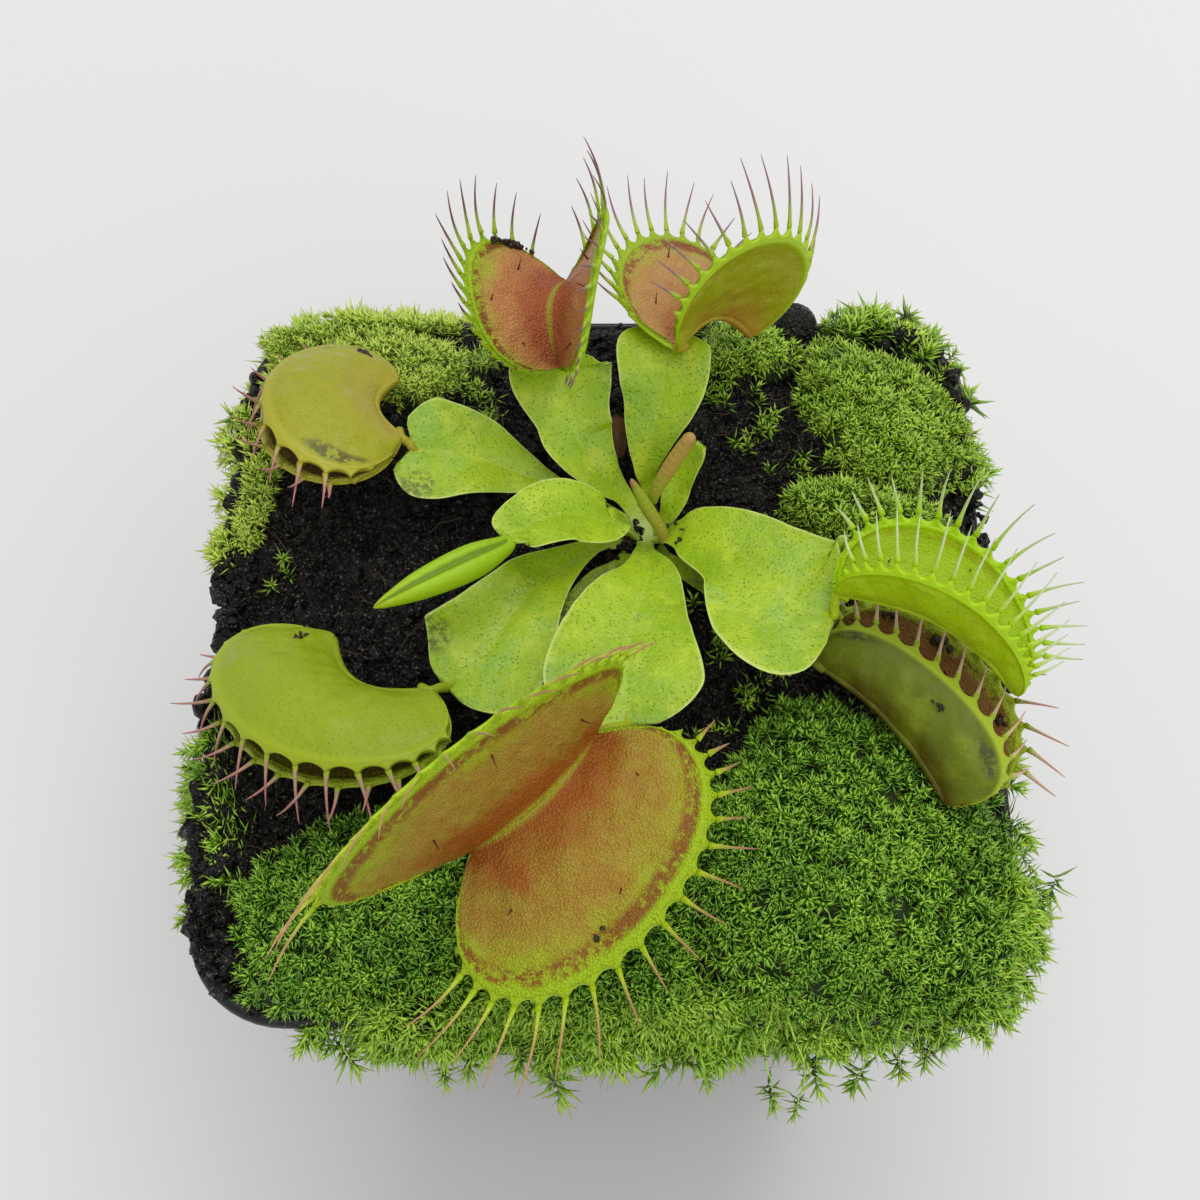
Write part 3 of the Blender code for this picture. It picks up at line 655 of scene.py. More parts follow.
def trap_finish(settings, name, grain, greening, *codes):
    """Trap: pebbled coloured inside with painted shade and highlight on its pebbles, blotchy band, bright
    margin, smooth outside, tinted teeth.
    """
    outside, low, inside, hinge, band, margin, root, tip = (shade(c) for c in codes)
    f = Finish(name, Specular_IOR_Level=0.3, Subsurface_Weight=0.08, Subsurface_Scale=0.4 * MM)
    f.shader.inputs["Subsurface Radius"].default_value = (1.0, 0.8, 0.1)
    depth, inner, tooth = (f.value(n) for n in ("depth", "inner", "tooth"))
    drift = f.noise(4.5, 3.0, 0.6)
    fine = f.noise(0.7, 4.0, 0.7)
    pebble = f.cells(0.25)
    red = f.sums("ADD", f.fade(depth, 0.7, 0.06), f.sums("MULTIPLY", f.sums("SUBTRACT", drift, 0.5), 1.5))
    flesh = f.mix(f.fade(red, 0.15, 1.0), inside, hinge)
    green = f.sums("ADD", depth, f.sums("MULTIPLY", f.noise(6.0, 2.0), 0.7))
    flesh = f.mix(f.fade(green, 0.95, 1.3, 0.0, greening), flesh, margin)
    flesh = f.mix(f.fade(f.noise(1.8, 3.0), 0.42, 0.62, 0.0, 0.3), flesh, hinge)
    spots = f.fade(f.sums("ADD", fine, f.sums("MULTIPLY", drift, 0.6)), 0.66, 0.86)
    ring = f.sums("MULTIPLY", f.fade(depth, 0.8, 0.87), f.fade(depth, 0.97, 0.92))
    flesh = f.mix(f.fade(depth, 0.84, 0.95), flesh, margin)
    flesh = f.mix(f.sums("MULTIPLY", f.sums("MULTIPLY", ring, spots), settings.band), flesh, band)
    flesh = f.mix(f.fade(depth, 0.07, 0.01, 0.0, 0.8), flesh, shade("b4b42a"))
    # Darker in the gaps between the pebbles: painted shade; paler on their tops: painted highlight.
    flesh = f.mix(f.fade(pebble, 0.35, 0.8, 0.0, 0.6 * grain), flesh, f.mix(0.5, flesh, (0.02, 0.008, 0.0)))
    flesh = f.mix(f.fade(pebble, 0.4, 0.1, 0.0, 0.2 * grain), flesh, f.mix(0.5, flesh, shade("f0d070")))
    skin = f.mix(f.fade(depth, 0.55, 0.1), outside, low)
    skin = f.mix(f.fade(drift, 0.42, 0.66, 0.0, 0.3), skin, margin)
    skin = f.mix(f.fade(f.noise(1.4, 4.0, 0.7), 0.5, 0.7, 0.0, 0.3), skin, low)
    skin = f.mix(f.fade(f.cells(0.4), 0.32, 0.16, 0.0, 0.4), skin, shade("5a6a0a"))
    mould = f.fade(f.value("stain"), 0.3, 0.8)
    mould = f.sums("MULTIPLY", mould, f.fade(f.noise(0.9, 5.0, 0.75), 0.44, 0.54))
    skin = f.mix(f.sums("MULTIPLY", mould, 0.75), skin, shade("3e3a1e"))
    skin = f.mix(f.fade(depth, 0.9, 0.98), skin, margin)
    colour = f.mix(inner, skin, flesh)
    bristle = f.mix(f.fade(tooth, 0.1, 0.6), root, tip)
    bristle = f.mix(f.fade(tooth, 0.85, 1.0, 0.0, 0.6), bristle, shade("8a6a52"))
    colour = f.mix(f.fade(tooth, 0.02, 0.12), colour, bristle)
    colour = f.mix(f.fade(f.value("hair"), 0.3, 0.6), colour, shade("5e1f1c"))
    rough = f.sums("SUBTRACT", 0.5, f.sums("MULTIPLY", f.fade(f.noise(1.5, 3.0), 0.4, 0.65), 0.2))
    normal = f.bump(f.sums("MULTIPLY", f.fade(pebble, 0.7, 0.1), inner), settings.pebble_depth * grain)
    normal = f.bump(f.noise(0.35, 3.0, 0.6), 0.05, normal)
    normal = f.bump(f.noise(1.4, 2.0), 0.12, normal)
    return f.apply(colour, rough, normal)


def rod_finish(name, low, high, tip):
    """Furled growth, from one colour at its foot to another at its point."""
    f = Finish(name, Specular_IOR_Level=0.3, Subsurface_Weight=0.08, Subsurface_Scale=0.4 * MM)
    along = f.value("along")
    wander = f.sums("ADD", along, f.sums("MULTIPLY", f.sums("SUBTRACT", f.noise(1.4, 4.0), 0.5), 0.5))
    colour = f.mix(f.fade(wander, 0.15, 0.8), shade(low), shade(high))
    colour = f.mix(f.fade(wander, 0.88, 1.0), colour, shade(tip))
    colour = f.mix(f.fade(f.cells(0.35), 0.2, 0.08, 0.0, 0.35), colour, shade("5a5a1c"))
    # Darker green along the seam's groove: painted shade in the crease.
    colour = f.mix(f.fade(f.value("groove"), 0.2, 0.8, 0.0, 0.8), colour, shade("5d7a08"))
    rough = f.fade(f.noise(1.2), 0.35, 0.65, 0.34, 0.5)
    return f.apply(colour, rough, f.bump(f.cells(0.28), 0.03))


def speck_finish():
    """Black and dark brown specks: crumbs, drowned insects and old trap edges."""
    f = Finish("dark_specks", Specular_IOR_Level=0.5)
    colour = f.mix(f.noise(0.5, 3.0), shade("120e0c"), shade("3a2a1e"))
    return f.apply(colour, f.fade(f.noise(0.4), 0.4, 0.6, 0.3, 0.7), f.bump(f.noise(0.3), 0.1))


# ---------------------------------------------------------------- pot, peat and moss


def make_pot(settings):
    """Tapered square pot: rolled lip, stepped band, thin wall and drained floor."""
    wall, base_half, corner, base_corner = settings.wall / MM, settings.base / MM / 2, 10.0, 7.0
    band_foot = RIM - settings.band / MM
    flare = 1.9

    def line(height):
        return base_half + (RIM_HALF - flare - base_half) * height / RIM

    def corner_at(height):
        return base_corner + (corner - base_corner) * height / RIM

    foot_round = ((0.0, -1.1), (0.12, -0.55), (0.4, -0.2), (0.9, 0.0))
    outside = [(h, line(h) + d, corner_at(h) + d) for h, d in foot_round]
    outside += [(h, line(h), corner_at(h)) for h in np.linspace(3.0, band_foot - 0.5, 14)]
    for h, d in ((0.0, 0.0), (0.12, 0.35), (0.4, 0.85), (0.8, 1.1), (1.3, 1.18)):
        outside.append((band_foot + h, line(band_foot) + d, corner_at(band_foot) + d))
    start = line(band_foot) + 1.18
    for share in (0.2, 0.4, 0.6, 0.8, 0.95):
        outside.append((band_foot + 1.3 + 7.0 * share, start + (RIM_HALF - 0.35 - start) * share, corner))
    for angle in np.linspace(-60, 170, 9):
        lean = math.radians(angle)
        outside.append((RIM - 0.45 + 0.85 * math.sin(lean), RIM_HALF - 0.6 + 0.6 * math.cos(lean), corner))
    inside = [(h, line(h) + 1.18 - wall, corner - wall) for h in (RIM - 1.6, band_foot + 2.0)]
    inside += [(h, line(h) - wall, corner_at(h) - wall) for h in np.linspace(band_foot, wall + 0.5, 12)]
    inside.append((wall, line(wall) - wall - 0.5, base_corner - wall - 0.5))
    rings = [rounded_square(half, round_, h) for h, half, round_ in outside + inside]
    count = len(rings[0])
    faces = grid_faces(len(rings), count, wrap=True)
    build = Build()
    ends = [np.arange(count)[None, ::-1], ((len(rings) - 1) * count + np.arange(count))[None]]
    build.add(np.concatenate(rings), faces, *ends)
    pot = build.finish("pot_shell", pot_finish(settings), "pot", "pot")
    for quarter in range(4):
        angle = math.pi / 4 + math.pi / 2 * quarter
        bm = bmesh.new()
        bmesh.ops.create_cone(bm, cap_ends=True, segments=40, radius1=3 * MM, radius2=3 * MM, depth=8 * MM)
        shift = Vector((17 * MM * math.cos(angle), 17 * MM * math.sin(angle), 0))
        bmesh.ops.translate(bm, vec=shift, verts=bm.verts)
        mesh = bpy.data.meshes.new("drain_cutter")
        bm.to_mesh(mesh)
        bm.free()
        cutter = bpy.data.objects.new("drain_cutter", mesh)
        bpy.context.scene.collection.objects.link(cutter)
        cut = pot.modifiers.new("Drain", "BOOLEAN")
        cut.operation, cut.solver, cut.object = "DIFFERENCE", "EXACT", cutter
        apply_modifiers(pot)
        bpy.data.objects.remove(cutter)
    pot.data.set_sharp_from_angle(angle=math.radians(50))


def apply_modifiers(piece):
    """Turn a piece's modifiers into its mesh."""
    bpy.context.view_layer.update()
    evaluated = piece.evaluated_get(bpy.context.evaluated_depsgraph_get())
    mesh = bpy.data.meshes.new_from_object(evaluated)
    piece.modifiers.clear()
    piece.data = mesh


def peat_height(x, y):
    """Height of the rough peat surface above the rim."""
    place = np.stack([x, y, np.zeros_like(x)], -1)
    rough = 0.8 * fractal(place, 5.0, 3, 11) + 0.5 * fractal(place, 1.2, 2, 23)
    lumps = 1.6 * np.maximum(0.0, 0.66 - grains(place, 2.4, 31))
    lumps = lumps + np.maximum(0.0, 0.62 - grains(place, 1.0, 37))
    near_edge = np.clip((RIM_HALF - 1.5 - np.maximum(np.abs(x), np.abs(y))) / 4.0, 0.25, 1.0)
    return ground(x, y) + 0.25 + (rough + lumps) * near_edge


def make_peat(settings):
    """Peat plug with a lumpy wet surface, loose crumbs and plant fibres."""
    finish = peat_finish(settings)
    wall_gap = 1.6
    edge = rounded_square(RIM_HALF - wall_gap, 8.6, 0.0, 24, 116)
    build = Build()
    shares = np.concatenate([[0.003], np.linspace(0.012, 1.0, 150)])
    rings = []
    for share in shares:
        x, y = edge[:, 0] * share, edge[:, 1] * share
        rings.append(np.column_stack([x, y, RIM + peat_height(x, y)]))
    side_levels = ((-3.0, 1.2), (-9.5, 2.6), (PEAT_LOW.z - RIM + 0.8, 12.2), (PEAT_LOW.z - RIM, 12.8))
    for drop, inset in side_levels:
        scale = (RIM_HALF - wall_gap - inset) / (RIM_HALF - wall_gap)
        ring = np.column_stack([edge[:, 0] * scale, edge[:, 1] * scale, np.full(len(edge), RIM + drop)])
        rings.append(ring)
    count = len(edge)
    last = (len(rings) - 1) * count
    caps = [np.arange(count)[None], (last + np.arange(count))[None, ::-1]]
    build.add(np.concatenate(rings), grid_faces(len(rings), count, wrap=True, flip=True), *caps)
    build.finish("peat_surface", finish, "peat", "peat")
    make_crumbs(settings, finish)
    make_fibres(settings)
    lump_low, lump_high = (np.array(corner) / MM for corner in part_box("peat_lump"))
    points, faces = ball(4)
    rough = 1 + 0.12 * fractal(points, 0.8, 3, 5) + 0.12 * np.maximum(0.0, 0.5 - grains(points, 0.35, 9))
    build = Build()
    build.add((lump_low + lump_high) / 2 + points * rough[:, None] * (lump_high - lump_low) / 2, faces)
    build.finish("peat_lump_crumb", finish, "peat", "peat_lump")


def inside_pot(rng, count, margin):
    """Random places on the peat, in the pot's rounded outline."""
    half = RIM_HALF - margin
    x, y = rng.uniform(-half, half, (2, count))
    corner = np.hypot(np.maximum(np.abs(x) - half + 8, 0), np.maximum(np.abs(y) - half + 8, 0))
    keep = corner < 8
    return x[keep], y[keep]


def make_crumbs(settings, finish):
    """Loose crumbs of peat of many sizes, a few on the rim."""
    rng = np.random.default_rng(144)
    build = Build()
    # Roundness, how many, and the smallest and largest radius.
    sizes = ((1, settings.crumbs, 0.14, 0.42), (2, settings.crumbs // 6, 0.4, 1.05))
    for subdivisions, count, small, large in sizes:
        points, faces = ball(subdivisions)
        for kind in range(6):
            shape = points * (1 + 0.5 * noise(points, 0.9, 40 + kind))[:, None]
            x, y = inside_pot(rng, count // 6, 0.8)
            size = small + (large - small) * rng.random(len(x)) ** 2.2
            scales = size[:, None] * rng.uniform(0.6, 1.25, (len(x), 3))
            places = np.column_stack([x, y, RIM + peat_height(x, y) + size * 0.35])
            build.copies(shape, faces, places, scales, random_turns(rng, len(x)))
    build.finish("peat_crumbs", finish, "peat")
    # Ragged peat lies on the rim: direction, spread in degrees, how many and how far out.
    build = Build()
    points, faces = ball(2)
    ragged_places = ((172, 30, 900, 0.9), (214, 12, 340, 1.2), (246, 1.6, 60, 2.6), (20, 30, 160, 0.3))
    for turn, spread, count, reach in ragged_places:
        angle = np.radians(turn + spread * rng.uniform(-1, 1, count))
        place, way = rim_place(angle, rng.uniform(-2.6, 0.2, count))
        ragged = reach * noise(np.column_stack([place, np.zeros(count)]), 2.5, 91)
        place = place + way * ragged[:, None]
        size = 0.25 + 0.75 * rng.random(count) ** 2
        shape = points * (1 + 0.5 * noise(points, 0.8, 95))[:, None]
        height = RIM + 0.5 + rng.uniform(-0.2, 1.5, count) - 0.6 * np.maximum(ragged, 0)
        scales = size[:, None] * rng.uniform(0.6, 1.3, (count, 3))
        build.copies(shape, faces, np.column_stack([place, height]), scales, random_turns(rng, count))
    build.finish("rim_peat", finish, "peat")


def make_fibres(settings):
    """Thin root and sphagnum fibres lying on the peat."""
    rng = np.random.default_rng(77)
    build = Build()
    x, y = inside_pot(rng, settings.fibres, 2.0)
    for px, py in zip(x, y, strict=True):
        heading, bend = rng.uniform(0, 2 * math.pi), rng.normal(0, 0.22)
        length, steps = rng.uniform(2.0, 8.0), 9
        turn = heading + bend * np.arange(steps)
        path = np.cumsum(np.column_stack([np.cos(turn), np.sin(turn)]) * length / steps, 0) + (px, py)
        lift = 0.35 + 0.8 * rng.random() * np.sin(np.linspace(0, math.pi, steps))
        path = np.clip(path, -RIM_HALF + 1.0, RIM_HALF - 1.0)
        points = np.column_stack([path, RIM + peat_height(path[:, 0], path[:, 1]) + lift])
        build.tube(points, np.linspace(0.085, 0.03, steps), 5)
    build.finish("peat_fibres", fibre_finish(), "peat")


def cushion_place(spec, share, angle):
    """Place in a cushion's wavy outline, at a share of the way out."""
    x0, y0, length, width, turn, _ = spec
    turn = math.radians(turn)
    wave = 1.0 + 0.07 * np.sin(3 * angle + x0) + 0.05 * np.sin(5 * angle + y0)
    a, b = share * wave * length * np.cos(angle), share * wave * width * np.sin(angle)
    return x0 + a * math.cos(turn) - b * math.sin(turn), y0 + a * math.sin(turn) + b * math.cos(turn)


def cushion_height(spec, x, y, share):
    """Height of a moss cushion above the rim, with small mounds."""
    swell = MOSS_EDGE + (spec[5] - MOSS_EDGE) * np.maximum(0.0, 1.0 - share**2) ** 0.6
    place = np.stack([x, y, np.zeros_like(x)], -1)
    return np.maximum(ground(x, y), 0.0) + MOSS_LIFT + swell + 0.9 * fractal(place, 6.0, 2, 51)


class Shoots:
    """Collects moss shoots, each a spiral of pointed leaves, and turns them into leaves."""

    def __init__(self, seed):
        self.rng = np.random.default_rng(seed)
        self.feet, self.axes, self.sizes, self.leaves = [], [], [], []

    def add(self, feet, axes, size, leaves):
        """Add shoots by the points of their tips and the ways that they grow."""
        self.feet.append(feet)
        self.axes.append(unit(axes))
        self.sizes.append(np.broadcast_to(size, (len(feet),)))
        self.leaves.append(np.full(len(feet), leaves))

    def build(self, name, finish, *nodes):
        """Make the leaves, as closed slivers with a keel, in pieces of a workable size."""
        tips, axes = np.concatenate(self.feet), np.concatenate(self.axes)
        sizes, leaves = np.concatenate(self.sizes), np.concatenate(self.leaves)
        rng = self.rng
        shoot = np.repeat(np.arange(len(tips)), leaves)
        order = np.concatenate([np.arange(n) for n in leaves])
        low = (order + 0.5) / leaves[shoot]
        axis, size = axes[shoot], sizes[shoot]
        side = unit(np.cross(axis, rng.normal(size=(len(tips), 3))[shoot]))
        other = np.cross(axis, side)
        turn = GOLDEN_ANGLE * order + rng.normal(0, 0.25, len(order))
        out = side * np.cos(turn)[:, None] + other * np.sin(turn)[:, None]
        tilt = np.radians(8 + 82 * low**0.6 + rng.normal(0, 9, len(order)))
        way = axis * np.cos(tilt)[:, None] + out * np.sin(tilt)[:, None]
        lift = axis * np.sin(tilt)[:, None] - out * np.cos(tilt)[:, None]
        across = np.cross(way, lift)
        length = size * (0.6 + 0.6 * np.sqrt(low)) * rng.uniform(0.8, 1.25, len(order))
        width = 0.1 * size * rng.uniform(0.8, 1.2, len(order))
        base = tips[shoot] - axis * (low * size * 1.5)[:, None]
        droop = rng.normal(0.1, 0.1, len(order))
        # Three rails, left, right and keel, at the foot and the widest place, and a point.
        stations = ((0.0, -0.55, 0.15), (0.0, 0.55, 0.15), (0.0, 0.0, -0.35))
        stations += ((0.38, -1.0, 0.3), (0.38, 1.0, 0.3), (0.38, 0.0, -0.45), (1.0, 0.0, 0.0))
        points = np.stack([
            base + way * (t * length)[:, None] + across * (a * width)[:, None]
            + lift * (b * width - droop * t * t * length)[:, None]
            for t, a, b in stations
        ], 1)
        quads = np.array([[0, 1, 4, 3], [1, 2, 5, 4], [2, 0, 3, 5]])
        tris = np.array([[0, 2, 1], [3, 4, 6], [4, 5, 6], [5, 3, 6]])
        tint = rng.random(len(tips))[shoot] * 0.7 + rng.random(len(order)) * 0.3
        per_piece = MOST_FACES // LEAF_TRIANGLES
        made = []
        for number, start in enumerate(range(0, len(order), per_piece), 1):
            part = slice(start, start + per_piece)
            count = len(order[part])
            shift = (np.arange(count) * len(stations))[:, None, None]
            build = Build()
            build.add(
                points[part].reshape(-1, 3),
                (quads[None] + shift).reshape(-1, 4),
                (tris[None] + shift).reshape(-1, 3),
                tip=np.tile([s[0] for s in stations], count),
                low=np.repeat(low[part], len(stations)),
                tint=np.repeat(tint[part], len(stations)),
            )
            made.append(build.finish(f"{name}_shoots_{number}", finish, "moss", *nodes))
            nodes = ()
        return made


def rim_place(angle, out):
    """Point of the rim's rounded outline in a direction, moved outwards."""
    way = np.column_stack([np.cos(angle), np.sin(angle)])
    reach = RIM_HALF / (np.abs(way) ** 7).sum(1) ** (1 / 7)
    return way * (reach + out)[:, None], way


def make_moss(settings):
    """Cushions of star-like shoots on a dark bed, the fringe over the rim and lone sprigs."""
    bed = bed_finish()
    bright = moss_finish("moss_bright", shade("e2f25c"), tuple(settings.tip), shade("34500a"))
    grown = moss_finish("moss_grown", shade("c8e84c"), shade("86b41a"), shade("1f3406"))
    rich = moss_finish("moss_rich", shade("b4e43c"), tuple(settings.middle), shade("172a06"))
    finishes = dict.fromkeys(("moss_back_left", "moss_left"), bright)
    finishes |= dict.fromkeys(("moss_back_right", "moss_back_middle", "moss_middle_right"), grown)
    # The fringe's colours are lighter than the cushions': painted light, lifting the shade that the shoots
    # hanging over the rim lie in.
    hanging = moss_finish("moss_hanging", shade("c8ea4c"), shade("84b81a"), shade("243e06"))
    for number, (node, spec) in enumerate(MOSS.items()):
        shoots = Shoots(100 + number)
        rng = shoots.rng
        area = math.pi * spec[2] * spec[3]
        count = int(area * settings.density)
        share, angle = np.sqrt(rng.random(count)) * 1.06, rng.uniform(0, 2 * math.pi, count)
        x, y = cushion_place(spec, share, angle)
        inside = np.maximum(np.abs(x), np.abs(y)) < RIM_HALF + 0.5
        x, y, share = x[inside], y[inside], share[inside]
        height = cushion_height(spec, x, y, np.minimum(share, 1.0))
        out = unit(np.column_stack([x - spec[0], y - spec[1], np.zeros_like(x)]))
        lean = 0.2 + 0.9 * share**3
        axes = UP + out * lean[:, None] + rng.normal(0, 0.28, (len(x), 3))
        places = np.column_stack([x, y, RIM + height + rng.uniform(-0.6, 0.7, len(x))])
        size = settings.leaf / MM * rng.uniform(0.8, 1.25, len(x))
        shoots.add(places, axes, size, 17)
        shoots.build(node, finishes.get(node, rich), node)
        shoots = Shoots(150 + number)
        rng = shoots.rng
        for start, end, amount, owner in FRINGE:
            if owner == node:
                angle = np.radians(rng.uniform(start, end, amount))
                hang = rng.random(amount) ** 1.15
                place, way = rim_place(angle, -1.6 + 4.6 * hang)
                clump = noise(np.column_stack([place, np.zeros(amount)]), 5.0, 63)
                drop = 2.6 - 4.4 * hang + 1.0 * clump
                tips = np.column_stack([place + way * (1.4 * clump)[:, None], RIM + drop])
                axes = np.column_stack([way, 0.8 - 1.0 * hang]) + rng.normal(0, 0.35, (amount, 3))
                shoots.add(tips, axes, settings.leaf / MM * (0.9 + 1.1 * rng.random(amount) ** 1.5), 20)
        if shoots.feet:
            shoots.build(f"{node}_fringe", finishes.get(node, hanging))
        build = Build()
        rings = []
        turns = np.linspace(0, 2 * math.pi, 96, endpoint=False)
        for share in np.linspace(0.02, 1.0, 24):
            x, y = cushion_place(spec, share, turns)
            x, y = np.clip(x, -RIM_HALF + 0.4, RIM_HALF - 0.4), np.clip(y, -RIM_HALF + 0.4, RIM_HALF - 0.4)
            height = cushion_height(spec, x, y, np.full_like(x, share)) - 1.5
            rings.append(np.column_stack([x, y, RIM + height]))
        rings.append(rings[-1] * (0.99, 0.99, 1.0) - (0, 0, 2.2))
        count = len(turns)
        last = (len(rings) - 1) * count
        caps = [np.arange(count)[None], (last + np.arange(count))[None, ::-1]]
        build.add(np.concatenate(rings), grid_faces(len(rings), count, wrap=True, flip=True), *caps)
        build.finish(f"{node}_bed", bed, "moss")
    shoots = Shoots(200)
    rng = shoots.rng
    for x, y in SPRIGS:
        count = int(rng.integers(3, 9))
        spots = rng.normal(0, 1.1, (count, 2)) + (x, y)
        height = RIM + peat_height(spots[:, 0], spots[:, 1]) + rng.uniform(0.8, 1.8, count)
        shoots.add(np.column_stack([spots, height]), UP + rng.normal(0, 0.45, (count, 3)), 1.25, 15)
    stems = Build()
    t = np.linspace(0, 1, 12)
    for x, out, down in STEMS:
        path = np.column_stack([
            x + 0.5 * np.sin(5 * t + x), -RIM_HALF + 1 - (out + 1) * t,
            RIM + 2.2 + 0.8 * t - (down + 3.4) * t**2,
        ])
        path[:, 0] += np.cumsum(rng.normal(0, 0.12, len(t)))
        stems.tube(path, np.linspace(0.12, 0.06, len(t)), 6, tip=0.4, tint=0.5)
        way = unit(path[-1] - path[-2])
        size = settings.leaf / MM * rng.uniform(0.9, 2.1)
        shoots.add(path[-1:], way[None] + (0, 0, 0.4), size, 20)
        along = path[2:-1:2]
        shoots.add(along, np.tile(way, (len(along), 1)) + rng.normal(0, 0.3, (len(along), 3)), 0.75, 6)
    stems.finish("moss_stems", hanging, "moss")
    shoots.build("moss_sprigs", grown)


# ---------------------------------------------------------------- the plant


def make_rhizome():
    """Pale bulb of overlapping leaf bases, sunk in the peat at the crown."""
    points, faces = ball(5)
    low, high = np.array(BULB_LOW), np.array(BULB_HIGH)
    angle = np.arctan2(points[:, 1], points[:, 0])
    ribs = 0.06 * np.cos(7 * angle + 3 * points[:, 2]) * (1 - points[:, 2] ** 2)
    shape = points * (0.97 + ribs + 0.02 * noise(points, 0.3, 3))[:, None]
    build = Build()
    build.add((low + high) / 2 + shape * (high - low) / 2, faces, along=(points[:, 2] + 1) / 2)
    finish = rod_finish("rhizome_scales", "d8d2a8", "a9bd62", "b9c96e")
    build.finish("rhizome_bulb", finish, "rhizome", "rhizome")


def petiole_grid(rows, steps=64, columns=37, notch=1.0):
    """Surface, normals and coordinates of a winged leaf stalk."""
    rows = np.array(rows)
    foot = np.array([*(CROWN[:2] * 0.75 + rows[0, :2] * 0.25), CROWN[2] - RIM - 0.6, 0.75])
    read = smooth_rows(np.vstack([foot, rows]), steps)
    t = np.linspace(0, 1, steps + 1)
    centre = read[:, :3] + (0, 0, RIM)
    along = unit(np.gradient(centre, axis=0))
    side = unit(np.cross(along, UP))
    up = np.cross(side, along)
    across = np.sin(math.pi / 2 * np.linspace(-1, 1, columns))
    closing = np.clip((t - 0.82) / 0.18, 0, 1)
    half = np.maximum(read[:, 3] * (1 - closing**2.8) ** 0.5, 0.55)
    v, h = across[None], half[:, None]
    surface = centre[:, None] + side[:, None] * (v * h)[..., None]
    lift = 0.14 * h * np.abs(v) ** 1.5 - 0.16 * np.exp(-((v * h / 0.6) ** 2)) * np.clip(h - 0.8, 0, 1)
    wave = noise(surface, 4.5, 71) * 0.45 * np.abs(v) * np.clip(h / 3, 0, 1)
    surface = surface + up[:, None] * (lift + wave)[..., None]
    push = notch * np.clip((t - 0.7) / 0.3, 0, 1)[:, None] ** 2 * np.abs(v) ** 1.3 * np.clip(h / 3, 0, 1)
    surface = surface + along[:, None] * push[..., None]
    edge = noise(surface, 1.6, 73) * 0.1 * (np.abs(v) > 0.9)
    surface = surface + side[:, None] * edge[..., None]
    normal = unit(np.cross(np.gradient(surface, axis=1), np.gradient(surface, axis=0)))
    normal = normal * np.sign((normal * up[:, None]).sum(-1, keepdims=True))
    return surface, normal, t, across, half


def make_petioles(settings):
    """Ten winged leaf stalks."""
    plain = petiole_finish(settings, "leaf_stalk")
    fresh = petiole_finish(settings, "leaf_stalk_young", young=1.0)
    worn = petiole_finish(settings, "leaf_stalk_old", dull=0.75)
    notches = {"petiole_left": 2.0, "petiole_back": 1.4, "petiole_back_left": 1.2, "petiole_young": 0.3}
    finishes = {"petiole_young": fresh, "petiole_new": fresh, "petiole_old": worn, "petiole_right_low": worn}
    mouldy = {"petiole_front_left": (-16.5, -5.5), "petiole_left": (-19.0, 11.5), "petiole_old": (-3.0, -1.0)}
    for name, rows in PETIOLES.items():
        surface, normal, t, across, half = petiole_grid(rows, notch=notches.get(name, 0.8))
        v, h = across[None], half[:, None]
        keel = 0.22 + 0.5 * np.exp(-((v * h / 0.7) ** 2))
        rim = np.sqrt(np.maximum(0.0, 1 - np.abs(v) ** 10))
        mould = np.zeros_like(v * h)
        if name in mouldy:
            away = np.hypot(surface[..., 0] - mouldy[name][0], surface[..., 1] - mouldy[name][1])
            mould = np.exp(-((away / 2.2) ** 2))
        build = Build()
        thin_sheet(
            build, surface, normal, 0.06 * rim, 0.04 + keel * rim,
            along=np.broadcast_to(t[:, None], mould.shape),
            across=np.abs(v) * np.ones_like(mould), mould=mould,
        )
        build.finish(f"{name}_blade", finishes.get(name, plain), "leaf_stalk", name)


def trap_axes(trap):
    """Unit vectors along the midrib, out of the mouth, and across the trap."""
    heading, pitch, roll = (math.radians(trap[k]) for k in ("heading", "pitch", "roll"))
    level = math.cos(pitch)
    along = np.array([math.cos(heading) * level, math.sin(heading) * level, math.sin(pitch)])
    upright = unit(UP - along * along[2])
    mouth = upright * math.cos(roll) + np.cross(along, upright) * math.sin(roll)
    return along, mouth, np.cross(along, mouth)


